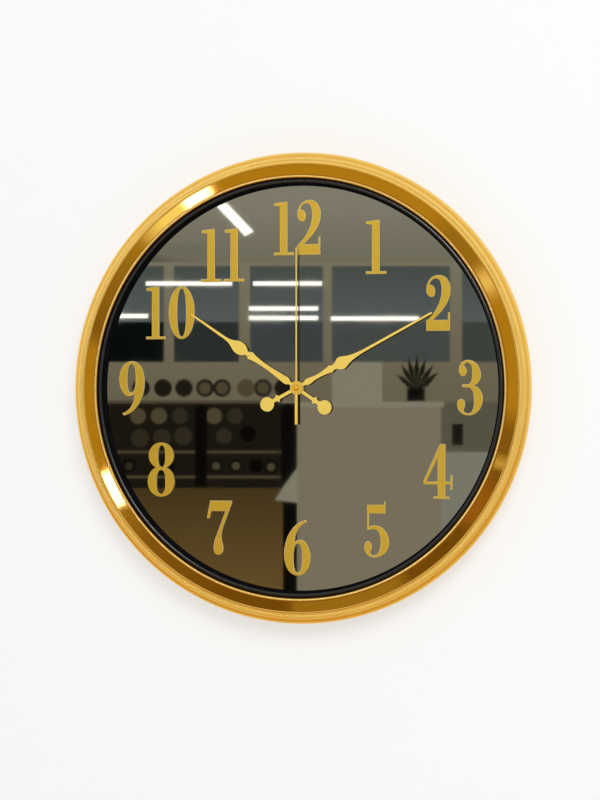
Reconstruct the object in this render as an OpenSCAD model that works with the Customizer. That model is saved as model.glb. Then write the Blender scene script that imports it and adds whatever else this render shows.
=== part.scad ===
// Round wall clock with a tinted mirror for a dial, gold frame, raised numerals and a quartz movement.
// Millimetres. Built with x right, y up and z from the wall to the viewer, then turned to face -Y.

/* [Frame] */
// Outside diameter over the rim bead
outer_d = 400; // [360:1:440]
// Width of the gold moulding, from the rim in to the lip
moulding_w = 22; // [20:0.5:26]
// Width of the reeded band, from the rim in to the ridge
band_w = 9.9; // [9:0.1:11]
// Height of the rim bead's centre in front of the glass
rim_rise = 2.3; // [1.5:0.1:3.5]
// Height of the ridge in front of the glass
ridge_rise = 8.2; // [7.4:0.1:9]
// Height of the inner lip in front of the glass
lip_rise = 9.3; // [8.6:0.1:10.5]
// Radius of the two reeds
bead_r = 2.7; // [2.4:0.05:2.9]
// Depth of the groove between the reeds
groove_d = 0.4; // [0.3:0.05:0.6]
// Radius of the sharp ridge between the reeds and the polished band
ridge_bead_r = 0.9; // [0.6:0.05:1.2]
// Radius of the rounded lip
lip_bead_r = 1.5; // [1.2:0.05:1.8]
// How far the flat polished band lies below the ridge
flat_drop = 0.6; // [0.3:0.05:0.8]
// How far the side draws in from the rim to the back edge
side_draw = 7; // [5:0.5:10]
// Wall thickness of the frame
frame_wall = 2.4; // [2:0.1:3]
// Gap from the frame's back edge to the wall
frame_gap = 1; // [0.5:0.1:2]

/* [Mirror and black ring] */
// Thickness of the mirror glass
glass_t = 3; // [2:0.1:4]
// Bevel on the glass edge
glass_bevel = 0.4; // [0.2:0.1:0.8]
// Visible width of the black ring
black_w = 6; // [5:0.1:7]
// Height of the black ring's bead in front of the glass
black_rise = 7.6; // [6.6:0.1:8.4]
// Radius of the black ring's bead
black_bead_r = 2.1; // [1.7:0.05:2.3]

/* [Numerals] */
// Height of a numeral
numeral_h = 46.5; // [40:0.5:50]
// Thickness of a numeral
numeral_t = 1.2; // [0.8:0.1:1.6]
// Space between the two figures of 10, 11 and 12, in hundredths of the height
figure_gap = 6; // [4:0.5:9]
// Distance from the black ring in to the centres of 6 and 12
numeral_in = 36; // [34:0.5:42]

/* [Hands] */
// Sheet thickness of the hands
hand_t = 0.4; // [0.35:0.05:0.5]
// Free space under each hand
hand_gap = 0.3; // [0.25:0.05:0.4]
// Length of the hour hand from the centre to its tip
hour_len = 114; // [108:0.5:120]
// Length of the minute hand from the centre to its tip
minute_len = 132.5; // [126:0.5:142]
// Length of the second hand from the centre to its tip
second_len = 119.5; // [112:0.5:130]
// Length of the second hand's tail
second_tail = 31; // [26:0.5:36]
// Radius of the round counterweights
tail_disc_r = 6.15; // [5.2:0.05:7]
// Radius of the hour hand's centre disc
hub_r = 5.9; // [5.6:0.05:6.6]
// Hour shown
show_hour = 10; // [0:1:11]
// Minute shown
show_minute = 10.3; // [0:0.1:59.9]
// Angle by which the hour hand sits behind the true hour
hour_lag = 1; // [0:0.1:2]
// Second shown
show_second = 0; // [0:1:59]

/* [Back pan] */
// Thickness of the pan's floor
floor_t = 2.5; // [2:0.1:3]
// Thickness of the pan's rim and flange
pan_wall = 2.5; // [2:0.1:3]
// Height of the stiffening ribs
rib_h = 5; // [3:0.5:7]
// Number of stiffening ribs
rib_count = 8; // [6:1:12]
// Number of case screws
screw_count = 6; // [4:1:8]
// Radius of a case screw's shank
screw_r = 1.4; // [1.2:0.05:1.6]
// Height of the keyhole above the dial centre
hanger_rise = 150; // [140:1:156]
// Radius of the keyhole's round entry
keyhole_r = 4.75; // [4.5:0.05:5]
// Half width of the keyhole's slot
slot_r = 2.5; // [2.3:0.05:2.6]
// Length of the keyhole's slot
slot_len = 11; // [9:0.5:13]
// Wall thickness of the hanger box
hanger_wall = 2.5; // [2:0.1:3]

/* [Movement] */
// Room at each end of the cell for its contact
contact_room = 1.4; // [1.2:0.1:2]
// Distance from the dial axis to the top of the movement
case_top = 26; // [25.5:0.1:28]
// Room for the wheels below the dial axis
train_room = 12.2; // [11.6:0.1:14]
// Wall thickness of the movement case
case_wall = 1.4; // [1.2:0.1:1.5]
// Room for the wheels between the cover and the front plate
gear_room = 10.1; // [9.8:0.1:10.6]
// Thickness of the rear cover
cover_t = 1.2; // [1.1:0.05:1.4]
// Height of the setting knob
knob_h = 2.4; // [2:0.1:2.8]
// Radius of the setting knob
knob_r = 4.6; // [4:0.1:5.2]
// Gap from the setting knob to the wall
knob_gap = 1.3; // [1.2:0.1:2]
// Thickness of the rubber washer in front of the movement
pad_t = 0.8; // [0.7:0.05:1.2]
// Radius of the threaded bush
bush_r = 4; // [3.8:0.05:4.2]
// Radius of the hour wheel's tube
hour_tube_r = 2.5; // [2.4:0.02:2.6]
// Radius of the cannon pinion's tube
minute_tube_r = 1.6; // [1.5:0.02:1.7]
// Radius of the second arbor
arbor_r = 0.5; // [0.45:0.01:0.55]
// Height of the fixing nut
nut_h = 1.4; // [1.2:0.05:1.6]
// Width of the fixing nut across its flats
nut_flats = 10; // [9.6:0.1:10.2]
// Thickness of the brass washer
washer_t = 0.4; // [0.3:0.05:0.5]
// Thickness of a train wheel
wheel_t = 1; // [0.9:0.05:1.05]
// Diameter of the AA cell
cell_d = 14.2; // [13.8:0.1:14.4]
// Length of the AA cell with its nub
cell_len = 50.4; // [49.5:0.1:50.5]

/* [Fits] */
// Radial clearance of a running fit
run_clear = 0.06; // [0.03:0.01:0.09]
// Clearance between fixed pieces that drop into each other
drop_clear = 0.3; // [0.2:0.05:0.4]
// Clearance between glued or pressed pieces
snug_clear = 0.02; // [0.01:0.01:0.05]
// Air between wheels that pass each other
level_gap = 0.35; // [0.3:0.01:0.38]
// Play between meshing teeth, along the pitch line
tooth_play = 0.07; // [0.05:0.01:0.1]

/* [Hidden] */
$fn = 96;
outer_r = outer_d / 2;
// Depth stack, from the wall to the front
cover_back = knob_gap + knob_h + 0.3;
cover_front = cover_back + cover_t;
plate_back = cover_front + gear_room;
plate_front = plate_back + 1.4;
floor_back = plate_front + pad_t;
floor_front = floor_back + floor_t;
glass_front = floor_front + glass_t;
nut_back = glass_front + washer_t;
bush_end = nut_back + nut_h + 0.2;
hour_z = bush_end + hand_gap;
minute_z = hour_z + 2 * hand_t + hand_gap;
second_z = minute_z + 2 * hand_t + hand_gap;
// Frame section
lip_in = outer_r - moulding_w;
rim_r = outer_r - bead_r;
rim_z = glass_front + rim_rise;
ridge_r = outer_r - band_w;
ridge_z = glass_front + ridge_rise - ridge_bead_r;
reed_r = (rim_r + ridge_r) / 2;
reed_z = (rim_z + ridge_z) / 2;
lip_r = lip_in + lip_bead_r;
lip_z = glass_front + lip_rise - lip_bead_r;
flat_z = glass_front + ridge_rise - flat_drop;
slope_run = [rim_r - ridge_r, ridge_z - rim_z];
slope_out = [slope_run[1], slope_run[0]] / norm(slope_run);
ledge_z = glass_front + 4.6;
back_r = outer_r - side_draw;
wall_top_z = rim_z - 2;
// Pieces inside the frame
spigot_in = lip_in + 6.3;
spigot_out = spigot_in + 1.8;
boss_r = 3.2;
head_r = 2 * screw_r;
head_h = 2;
head_z = floor_back - pan_wall;
screw_at = wall_in(head_z - head_h) - drop_clear - head_r;
glass_r = spigot_in - drop_clear;
black_in = lip_in - black_w;
pan_r = spigot_in - drop_clear;
pan_rim_out = screw_at - boss_r - 1.4;
pan_rim_in = pan_rim_out - pan_wall;
flange_r = wall_in(head_z) - drop_clear;
// Movement layout about the dial axis
case_w = cell_len + 2 * (contact_room + case_wall);
case_half = case_w / 2;
inner_half = case_half - case_wall;
corner_r = 3;
part_wall = 1.2;
cell_r = cell_d / 2;
bay_top = -train_room - part_wall;
cell_y = bay_top - 0.5 - cell_r;
case_low = cell_y - cell_r - 0.5 - case_wall;
case_h = case_top - case_low;
case_mid = (case_top + case_low) / 2;
cell_z = plate_back - 0.1 - cell_r;
// Teeth and modules of the train
rotor_n = 12;
mid_wheel_n = 60;
mid_pinion_n = 10;
second_wheel_n = 60;
second_pinion_n = 8;
third_wheel_n = 60;
third_pinion_n = 8;
centre_wheel_n = 64;
cannon_n = 12;
minute_wheel_n = 36;
minute_pinion_n = 10;
hour_wheel_n = 40;
setting_n = 18;
rotor_m = 0.25;
second_m = 0.30;
third_m = 0.36;
centre_m = third_m * (second_pinion_n + third_wheel_n) / (third_pinion_n + centre_wheel_n);
cannon_m = 0.40;
hour_m = cannon_m * (cannon_n + minute_wheel_n) / (minute_pinion_n + hour_wheel_n);
// Directions between the arbors, and the arbors' places
mid_dir = 139.6;
rotor_dir = 165;
third_dir = 30;
minute_dir = 180;
setting_dir = 196;
mid_at = polar((mid_pinion_n + second_wheel_n) * second_m / 2, mid_dir);
rotor_at = mid_at + polar((rotor_n + mid_wheel_n) * rotor_m / 2, rotor_dir);
third_at = polar((second_pinion_n + third_wheel_n) * third_m / 2, third_dir);
minute_at = polar((cannon_n + minute_wheel_n) * cannon_m / 2, minute_dir);
setting_at = minute_at + polar((minute_wheel_n + setting_n) * cannon_m / 2, setting_dir);
// Turns that bring the teeth into mesh
third_turn = mesh(0, second_pinion_n, third_wheel_n, third_dir);
centre_turn = mesh(0, third_pinion_n, centre_wheel_n, third_dir + 180);
mid_turn = mesh(0, second_wheel_n, mid_pinion_n, mid_dir);
rotor_turn = mesh(0, mid_wheel_n, rotor_n, rotor_dir);
minute_turn = mesh(0, cannon_n, minute_wheel_n, minute_dir);
hour_turn = mesh(0, minute_pinion_n, hour_wheel_n, minute_dir + 180);
setting_turn = mesh(minute_turn, minute_wheel_n, setting_n, setting_dir);
// Levels of the wheels, from the front plate back
hour_level = plate_back - level_gap - wheel_t;
minute_level = hour_level - level_gap - wheel_t;
centre_level = minute_level - level_gap - wheel_t;
collar_level = centre_level - 0.95;
third_level = collar_level - level_gap - wheel_t;
second_level = third_level - level_gap - wheel_t;
mid_t = 0.8;
mid_level = second_level - level_gap - mid_t;
// Stator, coil and circuit board
stator_t = 1;
stator_level = second_level + 0.2;
core_level = stator_level + stator_t;
coil_y = case_top - case_wall - 3.6;
coil_left = 5.9 - inner_half;
coil_right = -3.4;
coil_z = core_level + stator_t / 2;
board_level = plate_back - 3.7;
board_t = 0.8;
board_top = board_level + board_t;
board_y0 = coil_y - 2.7;
board_x1 = inner_half - 1.2;
post_r = 0.7;
// Hand angles, clockwise from twelve
second_angle = show_second * 6;
minute_angle = show_minute * 6 + show_second / 10;
hour_angle = show_hour * 30 + show_minute / 2 + show_second / 120 - hour_lag;
// Centre radii of the numerals 1 to 12
numeral_r = black_in - numeral_in;
numeral_radii = [
  numeral_r + 1, numeral_r + 4.5, numeral_r + 12.3, numeral_r + 4, numeral_r + 2, numeral_r,
  numeral_r + 2, numeral_r + 4.5, numeral_r + 12.3, numeral_r - 5, numeral_r - 4, numeral_r
];
curve_steps = 8;

function polar(r, a) = r * [cos(a), sin(a)];

// Inner radius of the frame's drawn-in side at a depth.
function wall_in(z) =
  back_r - frame_wall + (rim_r - back_r) * (z - frame_gap) / (wall_top_z - frame_gap);

// Turn of the driven gear that puts a gap where the driving gear, turned by a, has its tooth.
function mesh(a, n_drive, n_driven, dir) =
  dir + 180 + 180 / n_driven - (a - dir) * n_drive / n_driven;

// Involute tooth: half angle of the tooth at a radius.
function roll(a) = tan(a) * 180 / PI - a;
function half_tooth(r, n, m) =
  let (base = n * m / 2 * cos(20), q = max(r, base))
  90 / n - tooth_play / 2 / (n * m / 2) * 180 / PI + roll(20) - roll(acos(base / q));
function tooth(n, m, tip) =
  let (p = n * m / 2, base = p * cos(20), low = max(base, p - 0.5 * m))
  [for (r = [p - 1.2 * m, low, p + 0.4 * tip * m, p + tip * m]) [r, half_tooth(max(r, low), n, m)]];
function gear_outline(n, m, tip) = [
  for (k = [0:n - 1]) let (c = 360 * k / n, t = tooth(n, m, tip))
    each [
      for (q = concat([for (e = t) [e[0], -e[1]]], [for (i = [3:-1:0]) t[i]]))
        polar(q[0], c + q[1])
    ]
];

// Outlines are lists of corners [x, y] and curves [handle, handle, end].
function is_curve(s) = is_list(s[0]);
function end_of(s) = is_curve(s) ? s[2] : s;
function curve_at(a, b, c, d, t) =
  a * pow(1 - t, 3) + b * 3 * t * pow(1 - t, 2) + c * 3 * t * t * (1 - t) + d * pow(t, 3);
function outline(path) = [
  for (i = [0:len(path) - 1])
    each is_curve(path[i])
      ? let (from = end_of(path[i - 1]), c = path[i])
        [for (k = [1:curve_steps]) curve_at(from, c[0], c[1], c[2], k / curve_steps)]
      : [path[i]]
];
function both_sides(half) = concat(
  half,
  [for (i = [len(half) - 1:-1:0]) if (half[i][1] > 0.001) [half[i][0], -half[i][1]]]
);
function power(v, e) = sign(v) * pow(abs(v), e);
// Oval of half width a and half height b; a fullness above 2 squares it up.
function oval(c, a, b, full) = [
  for (k = [0:47]) let (t = 7.5 * k) c + [a * power(cos(t), 2 / full), b * power(sin(t), 2 / full)]
];

// Figures, drawn 100 high from x = 0.
figure_w = [50.2, 38.5, 44.4, 46.5, 53.4, 46.3, 50, 48.6, 52, 50];
figure_1 = [
  [0, 0.8], [38.5, 0.8], [38.5, 6], [26, 6], [26, 99.4], [0.5, 96.4], [0.5, 91.6], [11.5, 90.2],
  [11.5, 6], [0, 6]
];
figure_2 = [
  [0, 0.8], [43.6, 0.8], [43.6, 33.8], [39.7, 33.8], [39.7, 20.4], [12.2, 20.4],
  [[26, 33], [44.4, 50], [44.4, 74]], [[44.4, 90], [36, 101.2], [23.5, 101.2]],
  [[9, 101.2], [0.3, 90], [0.3, 75]], [[0.3, 67], [4.5, 61.7], [10, 61.7]],
  [[14.5, 61.7], [16.4, 66], [16.4, 71.5]], [[16.4, 79], [12, 84], [5.8, 84.2]],
  [[7.5, 91], [12.5, 95], [18, 95]], [[25.5, 95], [28.2, 85], [28.2, 74]],
  [[28.2, 52], [16, 32], [0, 18.6]]
];
figure_3 = [
  [31, 53.7], [[38, 57], [43.1, 63], [43.1, 72]], [[43.1, 87], [33, 99.4], [19.5, 99.4]],
  [[10, 99.4], [3.2, 92], [3.2, 82]], [[3.2, 75], [6.5, 70.2], [10.3, 70.2]],
  [[14.5, 70.2], [17.4, 74], [17.4, 79]], [[17.4, 84.5], [15, 88], [12.5, 88.6]],
  [[12.8, 92], [15.5, 94.3], [19, 94.3]], [[25, 94.3], [27.6, 87], [27.6, 77]],
  [[27.6, 64], [25.5, 55.6], [18, 55.6]], [10, 55.6], [[8.7, 55], [8.7, 50.6], [10, 50.2]],
  [19, 50.2], [[27, 50.2], [30.5, 41], [30.5, 27]], [[30.5, 12], [27.5, 3.7], [20.5, 3.7]],
  [[15.5, 3.7], [11.8, 6], [11.3, 10.3]], [[13.3, 12], [14.4, 16], [14.4, 20]],
  [[14.4, 26], [11.3, 29.8], [7.3, 29.8]], [[3, 29.8], [0, 25.5], [0, 20]],
  [[0, 8.5], [8.5, 0], [20.7, 0]], [[35, 0], [46.5, 13], [46.5, 29.5]],
  [[46.5, 42], [40, 50.5], [31, 53.7]]
];
figure_4 = [
  [0.2, 26.8], [26.1, 26.8], [26.1, 5.2], [18.5, 5.2], [18.5, 0.8], [47.6, 0.8], [47.6, 5.2],
  [40.4, 5.2], [40.4, 26.8], [49.4, 26.8], [49.4, 17], [53.4, 17], [53.4, 43.8], [49.4, 43.8],
  [49.4, 32], [40.4, 32], [40.4, 98], [39.2, 99.2], [31.4, 99.2], [30, 98], [0.2, 32.6]
];
figure_4_eye = [[26.1, 32], [26.1, 74], [5.9, 32]];
figure_5 = [
  [5.3, 49.8], [5.3, 95.3], [36.8, 95.8], [36.8, 101.6], [39.5, 101.6], [39.5, 79.6], [9.1, 79.6],
  [9.1, 55.6], [[12, 57.5], [16, 58.3], [20, 58.3]], [[35, 58.3], [46.3, 44], [46.3, 27]],
  [[46.3, 12], [34, 0], [18, 0]], [[8, 0], [0, 8.5], [0, 18.5]], [[0, 25], [3, 29.4], [7.2, 29.4]],
  [[11.5, 29.4], [14.2, 25], [14.2, 19.5]], [[14.2, 15], [12.5, 11.5], [10.8, 9.5]],
  [[11.8, 6], [14, 3.8], [18, 3.8]], [[26, 3.8], [30.4, 14], [30.4, 27.5]],
  [[30.4, 42], [26.5, 51.3], [18.5, 51.3]], [[14.5, 51.3], [11, 50.6], [7.5, 49.8]]
];
figure_6 = [
  [20, 61], [[23, 64], [27, 65.6], [31, 65.6]], [[42, 65.6], [50, 50], [50, 33.5]],
  [[50, 14], [40, 0], [25, 0]], [[10, 0], [0, 16], [0, 39]], [[0, 68], [16, 96], [39.5, 101.4]],
  [[42, 101.8], [44.6, 98], [43.3, 97.3]], [[29, 93], [21, 80], [20, 61]]
];
figure_6_eye = [
  [17.6, 34], [[17.6, 48], [21, 59], [26.8, 59]], [[32, 59], [34, 48], [34, 35]],
  [[34, 18], [32, 5.4], [25.6, 5.4]], [[19.5, 5.4], [17.6, 18], [17.6, 34]]
];
figure_7 = [
  [0, 66.9], [6.6, 99.8], [48.6, 99.8], [48.2, 95.5], [37, 66.5], [[31, 50], [27, 42], [28.2, 30]],
  [[28.8, 24], [31.6, 20], [31.6, 11]], [[31.6, 4], [28, 0], [22.2, 0]],
  [[16.5, 0], [13, 4], [13, 12]], [[13, 24], [18, 34], [22, 44.5]], [35.7, 80.3], [8.4, 80.3],
  [5.4, 66.9]
];

module path_shape(path) {
  polygon(outline(path));
}

module figure(d) {
  if (d == 0) difference() {
    polygon(oval([25.1, 50], 25.1, 49.2, 2.05));
    polygon(oval([25.1, 50], 8.6, 44.8, 2.4));
  }
  if (d == 1) path_shape(figure_1);
  if (d == 2) path_shape(figure_2);
  if (d == 3) path_shape(figure_3);
  if (d == 4) difference() {
    path_shape(figure_4);
    path_shape(figure_4_eye);
  }
  if (d == 5) path_shape(figure_5);
  if (d == 6) difference() {
    path_shape(figure_6);
    path_shape(figure_6_eye);
  }
  if (d == 7) path_shape(figure_7);
  if (d == 8) difference() {
    union() {
      polygon(oval([26.2, 76.4], 24.3, 24.3, 2));
      polygon(oval([26, 28.1], 26, 28.1, 2.05));
    }
    polygon(oval([27.1, 75.3], 6.9, 20.1, 2.5));
    polygon(oval([25.7, 27.4], 8.6, 22.2, 2.5));
  }
  if (d == 9) translate([50, 101.4]) rotate(180) figure(6);
}

// One numeral, upright, its middle on its hour line.
module numeral(k) {
  tens = floor(k / 10);
  ones = k % 10;
  ones_at = tens > 0 ? figure_w[tens] + figure_gap : 0;
  at = polar(numeral_radii[k - 1], 90 - 30 * k);
  color("goldenrod")
    stand()
      translate([at[0], at[1], glass_front])
        linear_extrude(numeral_t)
          scale(numeral_h / 100)
            translate([-(ones_at + figure_w[ones]) / 2, -50]) {
              if (tens > 0) figure(tens);
              translate([ones_at, 0]) figure(ones);
            }
}

// Turns the flat build to stand with its front to -Y and the keyhole at the origin.
module stand() {
  translate([0, 0, -hanger_rise])
    rotate([90, 0, 0])
      children();
}

module post(at, z0, z1, r) {
  translate([at[0], at[1], z0])
    cylinder(h = z1 - z0, r = r);
}

module box(x0, x1, y0, y1, z0, z1) {
  translate([x0, y0, z0])
    cube([x1 - x0, y1 - y0, z1 - z0]);
}

module round_square(w, h, r) {
  square([w - 2 * r, h], center = true);
  square([w, h - 2 * r], center = true);
  for (sx = [-1, 1], sy = [-1, 1])
    translate([sx * (w / 2 - r), sy * (h / 2 - r)])
      circle(r = r);
}

module gear(at, n, m, z0, t, turn, tip = 0.9) {
  translate([at[0], at[1], z0])
    rotate(turn)
      linear_extrude(t)
        polygon(gear_outline(n, m, tip));
}

module bezel() {
  color("gold")
    stand() {
      difference() {
        union() {
          rotate_extrude()
            bezel_section();
          for (k = [0:screw_count - 1])
            rotate(360 * (k + 0.5) / screw_count)
              post([screw_at, 0], floor_back, ledge_z + 0.4, boss_r);
        }
        for (k = [0:screw_count - 1])
          rotate(360 * (k + 0.5) / screw_count)
            post([screw_at, 0], floor_back - 1, ledge_z - 1.5, screw_r + snug_clear);
      }
    }
}

// Half section of the frame: two shallow reeds, a ridge, a flat polished band, a lip, a drawn-in side and
// a spigot that locates the glass.
module bezel_section() {
  groove = (bead_r - groove_d) * slope_out;
  ridge_foot = (ridge_bead_r - groove_d / 2) * slope_out;
  polygon([
    [back_r, frame_gap], [rim_r + bead_r * cos(15), rim_z - bead_r * sin(15)], [rim_r, rim_z] + groove,
    [reed_r, reed_z] + groove, [ridge_r, ridge_z] + ridge_foot, [ridge_r, flat_z], [lip_r, flat_z],
    [lip_in, lip_z], [lip_in, ledge_z], [ridge_r - 2, ledge_z], [rim_r - frame_wall, wall_top_z],
    [back_r - frame_wall, frame_gap]
  ]);
  translate([rim_r, rim_z]) circle(r = bead_r);
  translate([reed_r, reed_z]) circle(r = bead_r);
  translate([ridge_r, ridge_z]) circle(r = ridge_bead_r);
  translate([lip_r, lip_z]) circle(r = lip_bead_r);
  translate([spigot_in, floor_back + drop_clear])
    square([spigot_out - spigot_in, ledge_z - floor_back - drop_clear + 0.5]);
}

module gasket_ring() {
  bead = [lip_in - drop_clear - black_bead_r, glass_front + black_rise - black_bead_r];
  side = bead[0] + 0.95 * black_bead_r;
  slope = bead - 0.95 * black_bead_r * [cos(20), sin(20)];
  flange_z = ledge_z - 0.1;
  color("black")
    stand() {
      rotate_extrude()
        translate(bead) circle(r = black_bead_r);
      rotate_extrude()
        polygon([
          [black_in, glass_front], [black_in + 0.3, glass_front + 1], slope, bead, [side, bead[1]],
          [side, flange_z], [glass_r, flange_z], [glass_r, glass_front], [glass_r - 2, glass_front],
          [glass_r - 2, flange_z - 1.9], [bead[0], flange_z - 1.9], [bead[0] - 0.6, glass_front]
        ]);
    }
}

module mirror_dial() {
  hole_r = bush_r + drop_clear;
  color("dimgray")
    stand()
      rotate_extrude()
        polygon([
          [hole_r, floor_front], [glass_r - glass_bevel, floor_front],
          [glass_r, floor_front + glass_bevel], [glass_r, glass_front - glass_bevel],
          [glass_r - glass_bevel, glass_front], [hole_r, glass_front]
        ]);
}

// Dished back: floor behind the glass, flange under the frame's bosses, rim to the wall, ribs and
// hanger box.
module back_pan() {
  color("dimgray")
    stand()
      difference() {
        union() {
          post([0, 0], floor_back, floor_front, pan_r);
          rotate_extrude() {
            translate([pan_r - 4, head_z]) square([flange_r - pan_r + 4, pan_wall]);
            translate([pan_rim_in, 0]) square([pan_wall, floor_back]);
          }
          translate([0, case_mid, floor_back - rib_h])
            linear_extrude(rib_h)
              difference() {
                round_square(case_w + 5, case_h + 5, 3);
                round_square(case_w + 1, case_h + 1, 2);
              }
          for (k = [0:rib_count - 1])
            rotate(360 * (k + 0.5) / rib_count)
              box(case_half * 1.5, pan_rim_in + 0.5, -1, 1, floor_back - rib_h, floor_back);
          hanger_box();
        }
        post([0, 0], floor_back - 1, floor_front + 1, bush_r + drop_clear);
        for (k = [0:screw_count - 1])
          rotate(360 * (k + 0.5) / screw_count)
            post([screw_at, 0], head_z - 1, floor_back + 0.1, screw_r + drop_clear);
      }
}

module hanger_box() {
  half = keyhole_r + 7.25 + hanger_wall;
  low = hanger_rise - keyhole_r - 5 - hanger_wall;
  high = min(hanger_rise + slot_len + 8 + hanger_wall, pan_rim_in - 4);
  room = half - hanger_wall;
  difference() {
    box(-half, half, low, high, 0, floor_back + 0.1);
    box(-room, room, low + hanger_wall, high - hanger_wall, hanger_wall, floor_back + 1);
    post([0, hanger_rise], -1, hanger_wall + 1, keyhole_r);
    box(-slot_r, slot_r, hanger_rise, hanger_rise + slot_len, -1, hanger_wall + 1);
    post([0, hanger_rise + slot_len], -1, hanger_wall + 1, slot_r);
  }
}

module case_screws() {
  cross = screw_r * 1.1;
  color("silver")
    stand()
      for (k = [0:screw_count - 1])
        rotate(360 * (k + 0.5) / screw_count)
          translate([screw_at, 0, 0])
            difference() {
              union() {
                post([0, 0], head_z - head_h, head_z, head_r);
                post([0, 0], head_z - 0.1, ledge_z - 2.5, screw_r);
              }
              box(-cross, cross, -0.35, 0.35, head_z - 3, head_z - 1);
              box(-0.35, 0.35, -cross, cross, head_z - 3, head_z - 1);
            }
}

// Half outline of a hand's tail, shared by the hour and minute hands.
tail_at = -29.3;
tail_half = [
  [tail_at + tail_disc_r * 0.6, 2.6], [[-23.6, 1.9], [-22.6, 1.6], [-21.4, 1.6]],
  [[-20.2, 1.6], [-19.4, 2.4], [-18.9, 3.6]], [-16.8, 1.4], [7.6, 1.45]
];
hour_half = concat(tail_half, [
  [[8.6, 1.6], [9.4, 3.05], [11.2, 3.05]], [[16, 3], [24, 1.8], [33, 1.8]],
  [[40, 1.8], [46, 2.6], [50, 3.6]], [[50.6, 2.4], [52, 1.9], [53.4, 1.9]],
  [[54.8, 1.9], [55.4, 5.4], [61.2, 5.4]], [[67.5, 5.4], [68, 1.35], [77, 1.2]],
  [hour_len - 1, 0.8], [[hour_len - 0.3, 0.8], [hour_len, 0.4], [hour_len, 0]]
]);
minute_half = concat(tail_half, [
  [[8.8, 1.5], [9.6, 2.75], [11.4, 2.75]], [[14, 2.7], [17, 1.6], [20.5, 1.6]],
  [[26, 1.6], [31, 2.4], [34.2, 3.35]], [[34.9, 2.4], [36, 2.2], [37.3, 2.2]],
  [[39.5, 2.4], [41.5, 5.5], [44.3, 5.5]], [[46.5, 5.5], [51, 2.9], [55, 2.3]],
  [[58.5, 1.75], [62, 1.2], [68, 1.15]],
  [minute_len - 1, 0.8], [[minute_len - 0.3, 0.8], [minute_len, 0.4], [minute_len, 0]]
]);

module hand_sheet(half, centre_r, bore) {
  difference() {
    union() {
      polygon(both_sides(outline(half)));
      translate([tail_at, 0]) circle(r = tail_disc_r);
      circle(r = centre_r);
    }
    circle(r = bore);
  }
}

module hour_hand() {
  bore = hour_tube_r + snug_clear;
  color("goldenrod")
    stand()
      rotate(90 - hour_angle)
        translate([0, 0, hour_z]) {
          linear_extrude(hand_t) hand_sheet(hour_half, hub_r, bore);
          linear_extrude(2 * hand_t) difference() {
            circle(r = bore + 1.2);
            circle(r = bore);
          }
        }
}

module minute_hand() {
  bore = minute_tube_r + snug_clear;
  color("goldenrod")
    stand()
      rotate(90 - minute_angle)
        translate([0, 0, minute_z]) {
          linear_extrude(hand_t) hand_sheet(minute_half, hub_r - 0.6, bore);
          linear_extrude(2 * hand_t) difference() {
            circle(r = bore + 1.2);
            circle(r = bore);
          }
        }
}

// A narrow needle with a wider tail; the step between them lies under the centre disc.
module second_hand() {
  needle = [[-second_tail, 1.2], [-2, 1.2], [2, 0.65], [second_len - 0.5, 0.45], [second_len, 0.2]];
  color("goldenrod")
    stand()
      rotate(90 - second_angle)
        translate([0, 0, second_z])
          difference() {
            union() {
              linear_extrude(hand_t * 0.8) polygon(both_sides(needle));
              cylinder(h = hand_t * 0.8, r = hub_r - 0.7);
            }
            translate([0, 0, -1]) cylinder(h = 3, r = arbor_r + snug_clear);
          }
}

// Polished dome over the centre, a slice of a ball with a socket for the arbor's end.
module second_hand_cap() {
  dome_r = 2.6;
  dome_h = 1.6;
  ball_r = (dome_r * dome_r + dome_h * dome_h) / 2 / dome_h;
  foot = second_z + hand_t * 0.8;
  color("gold")
    stand()
      difference() {
        intersection() {
          translate([0, 0, foot + dome_h - ball_r]) sphere(r = ball_r);
          post([0, 0], foot, foot + dome_h + 1, dome_r + 1);
        }
        post([0, 0], foot - 1, foot + 0.7, arbor_r + snug_clear);
      }
}

module fixing_nut() {
  color("khaki")
    stand()
      difference() {
        translate([0, 0, nut_back]) cylinder(h = nut_h, r = nut_flats / 2 / cos(30), $fn = 6);
        post([0, 0], nut_back - 1, nut_back + nut_h + 1, bush_r + snug_clear);
      }
}

module brass_washer() {
  color("khaki")
    stand()
      difference() {
        post([0, 0], glass_front, nut_back, hub_r - 0.1);
        post([0, 0], glass_front - 1, nut_back + 1, bush_r + snug_clear);
      }
}

module rubber_washer() {
  color("black")
    stand()
      difference() {
        post([0, 0], plate_front, floor_back, 13);
        post([0, 0], plate_front - 1, floor_back + 1, 6.8);
      }
}

module threaded_bush() {
  color("khaki")
    stand()
      difference() {
        union() {
          post([0, 0], plate_back, bush_end, bush_r);
          post([0, 0], plate_front, floor_back - 0.1, 6.4);
        }
        post([0, 0], plate_back - 1, bush_end + 1, hour_tube_r + run_clear);
      }
}

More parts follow.
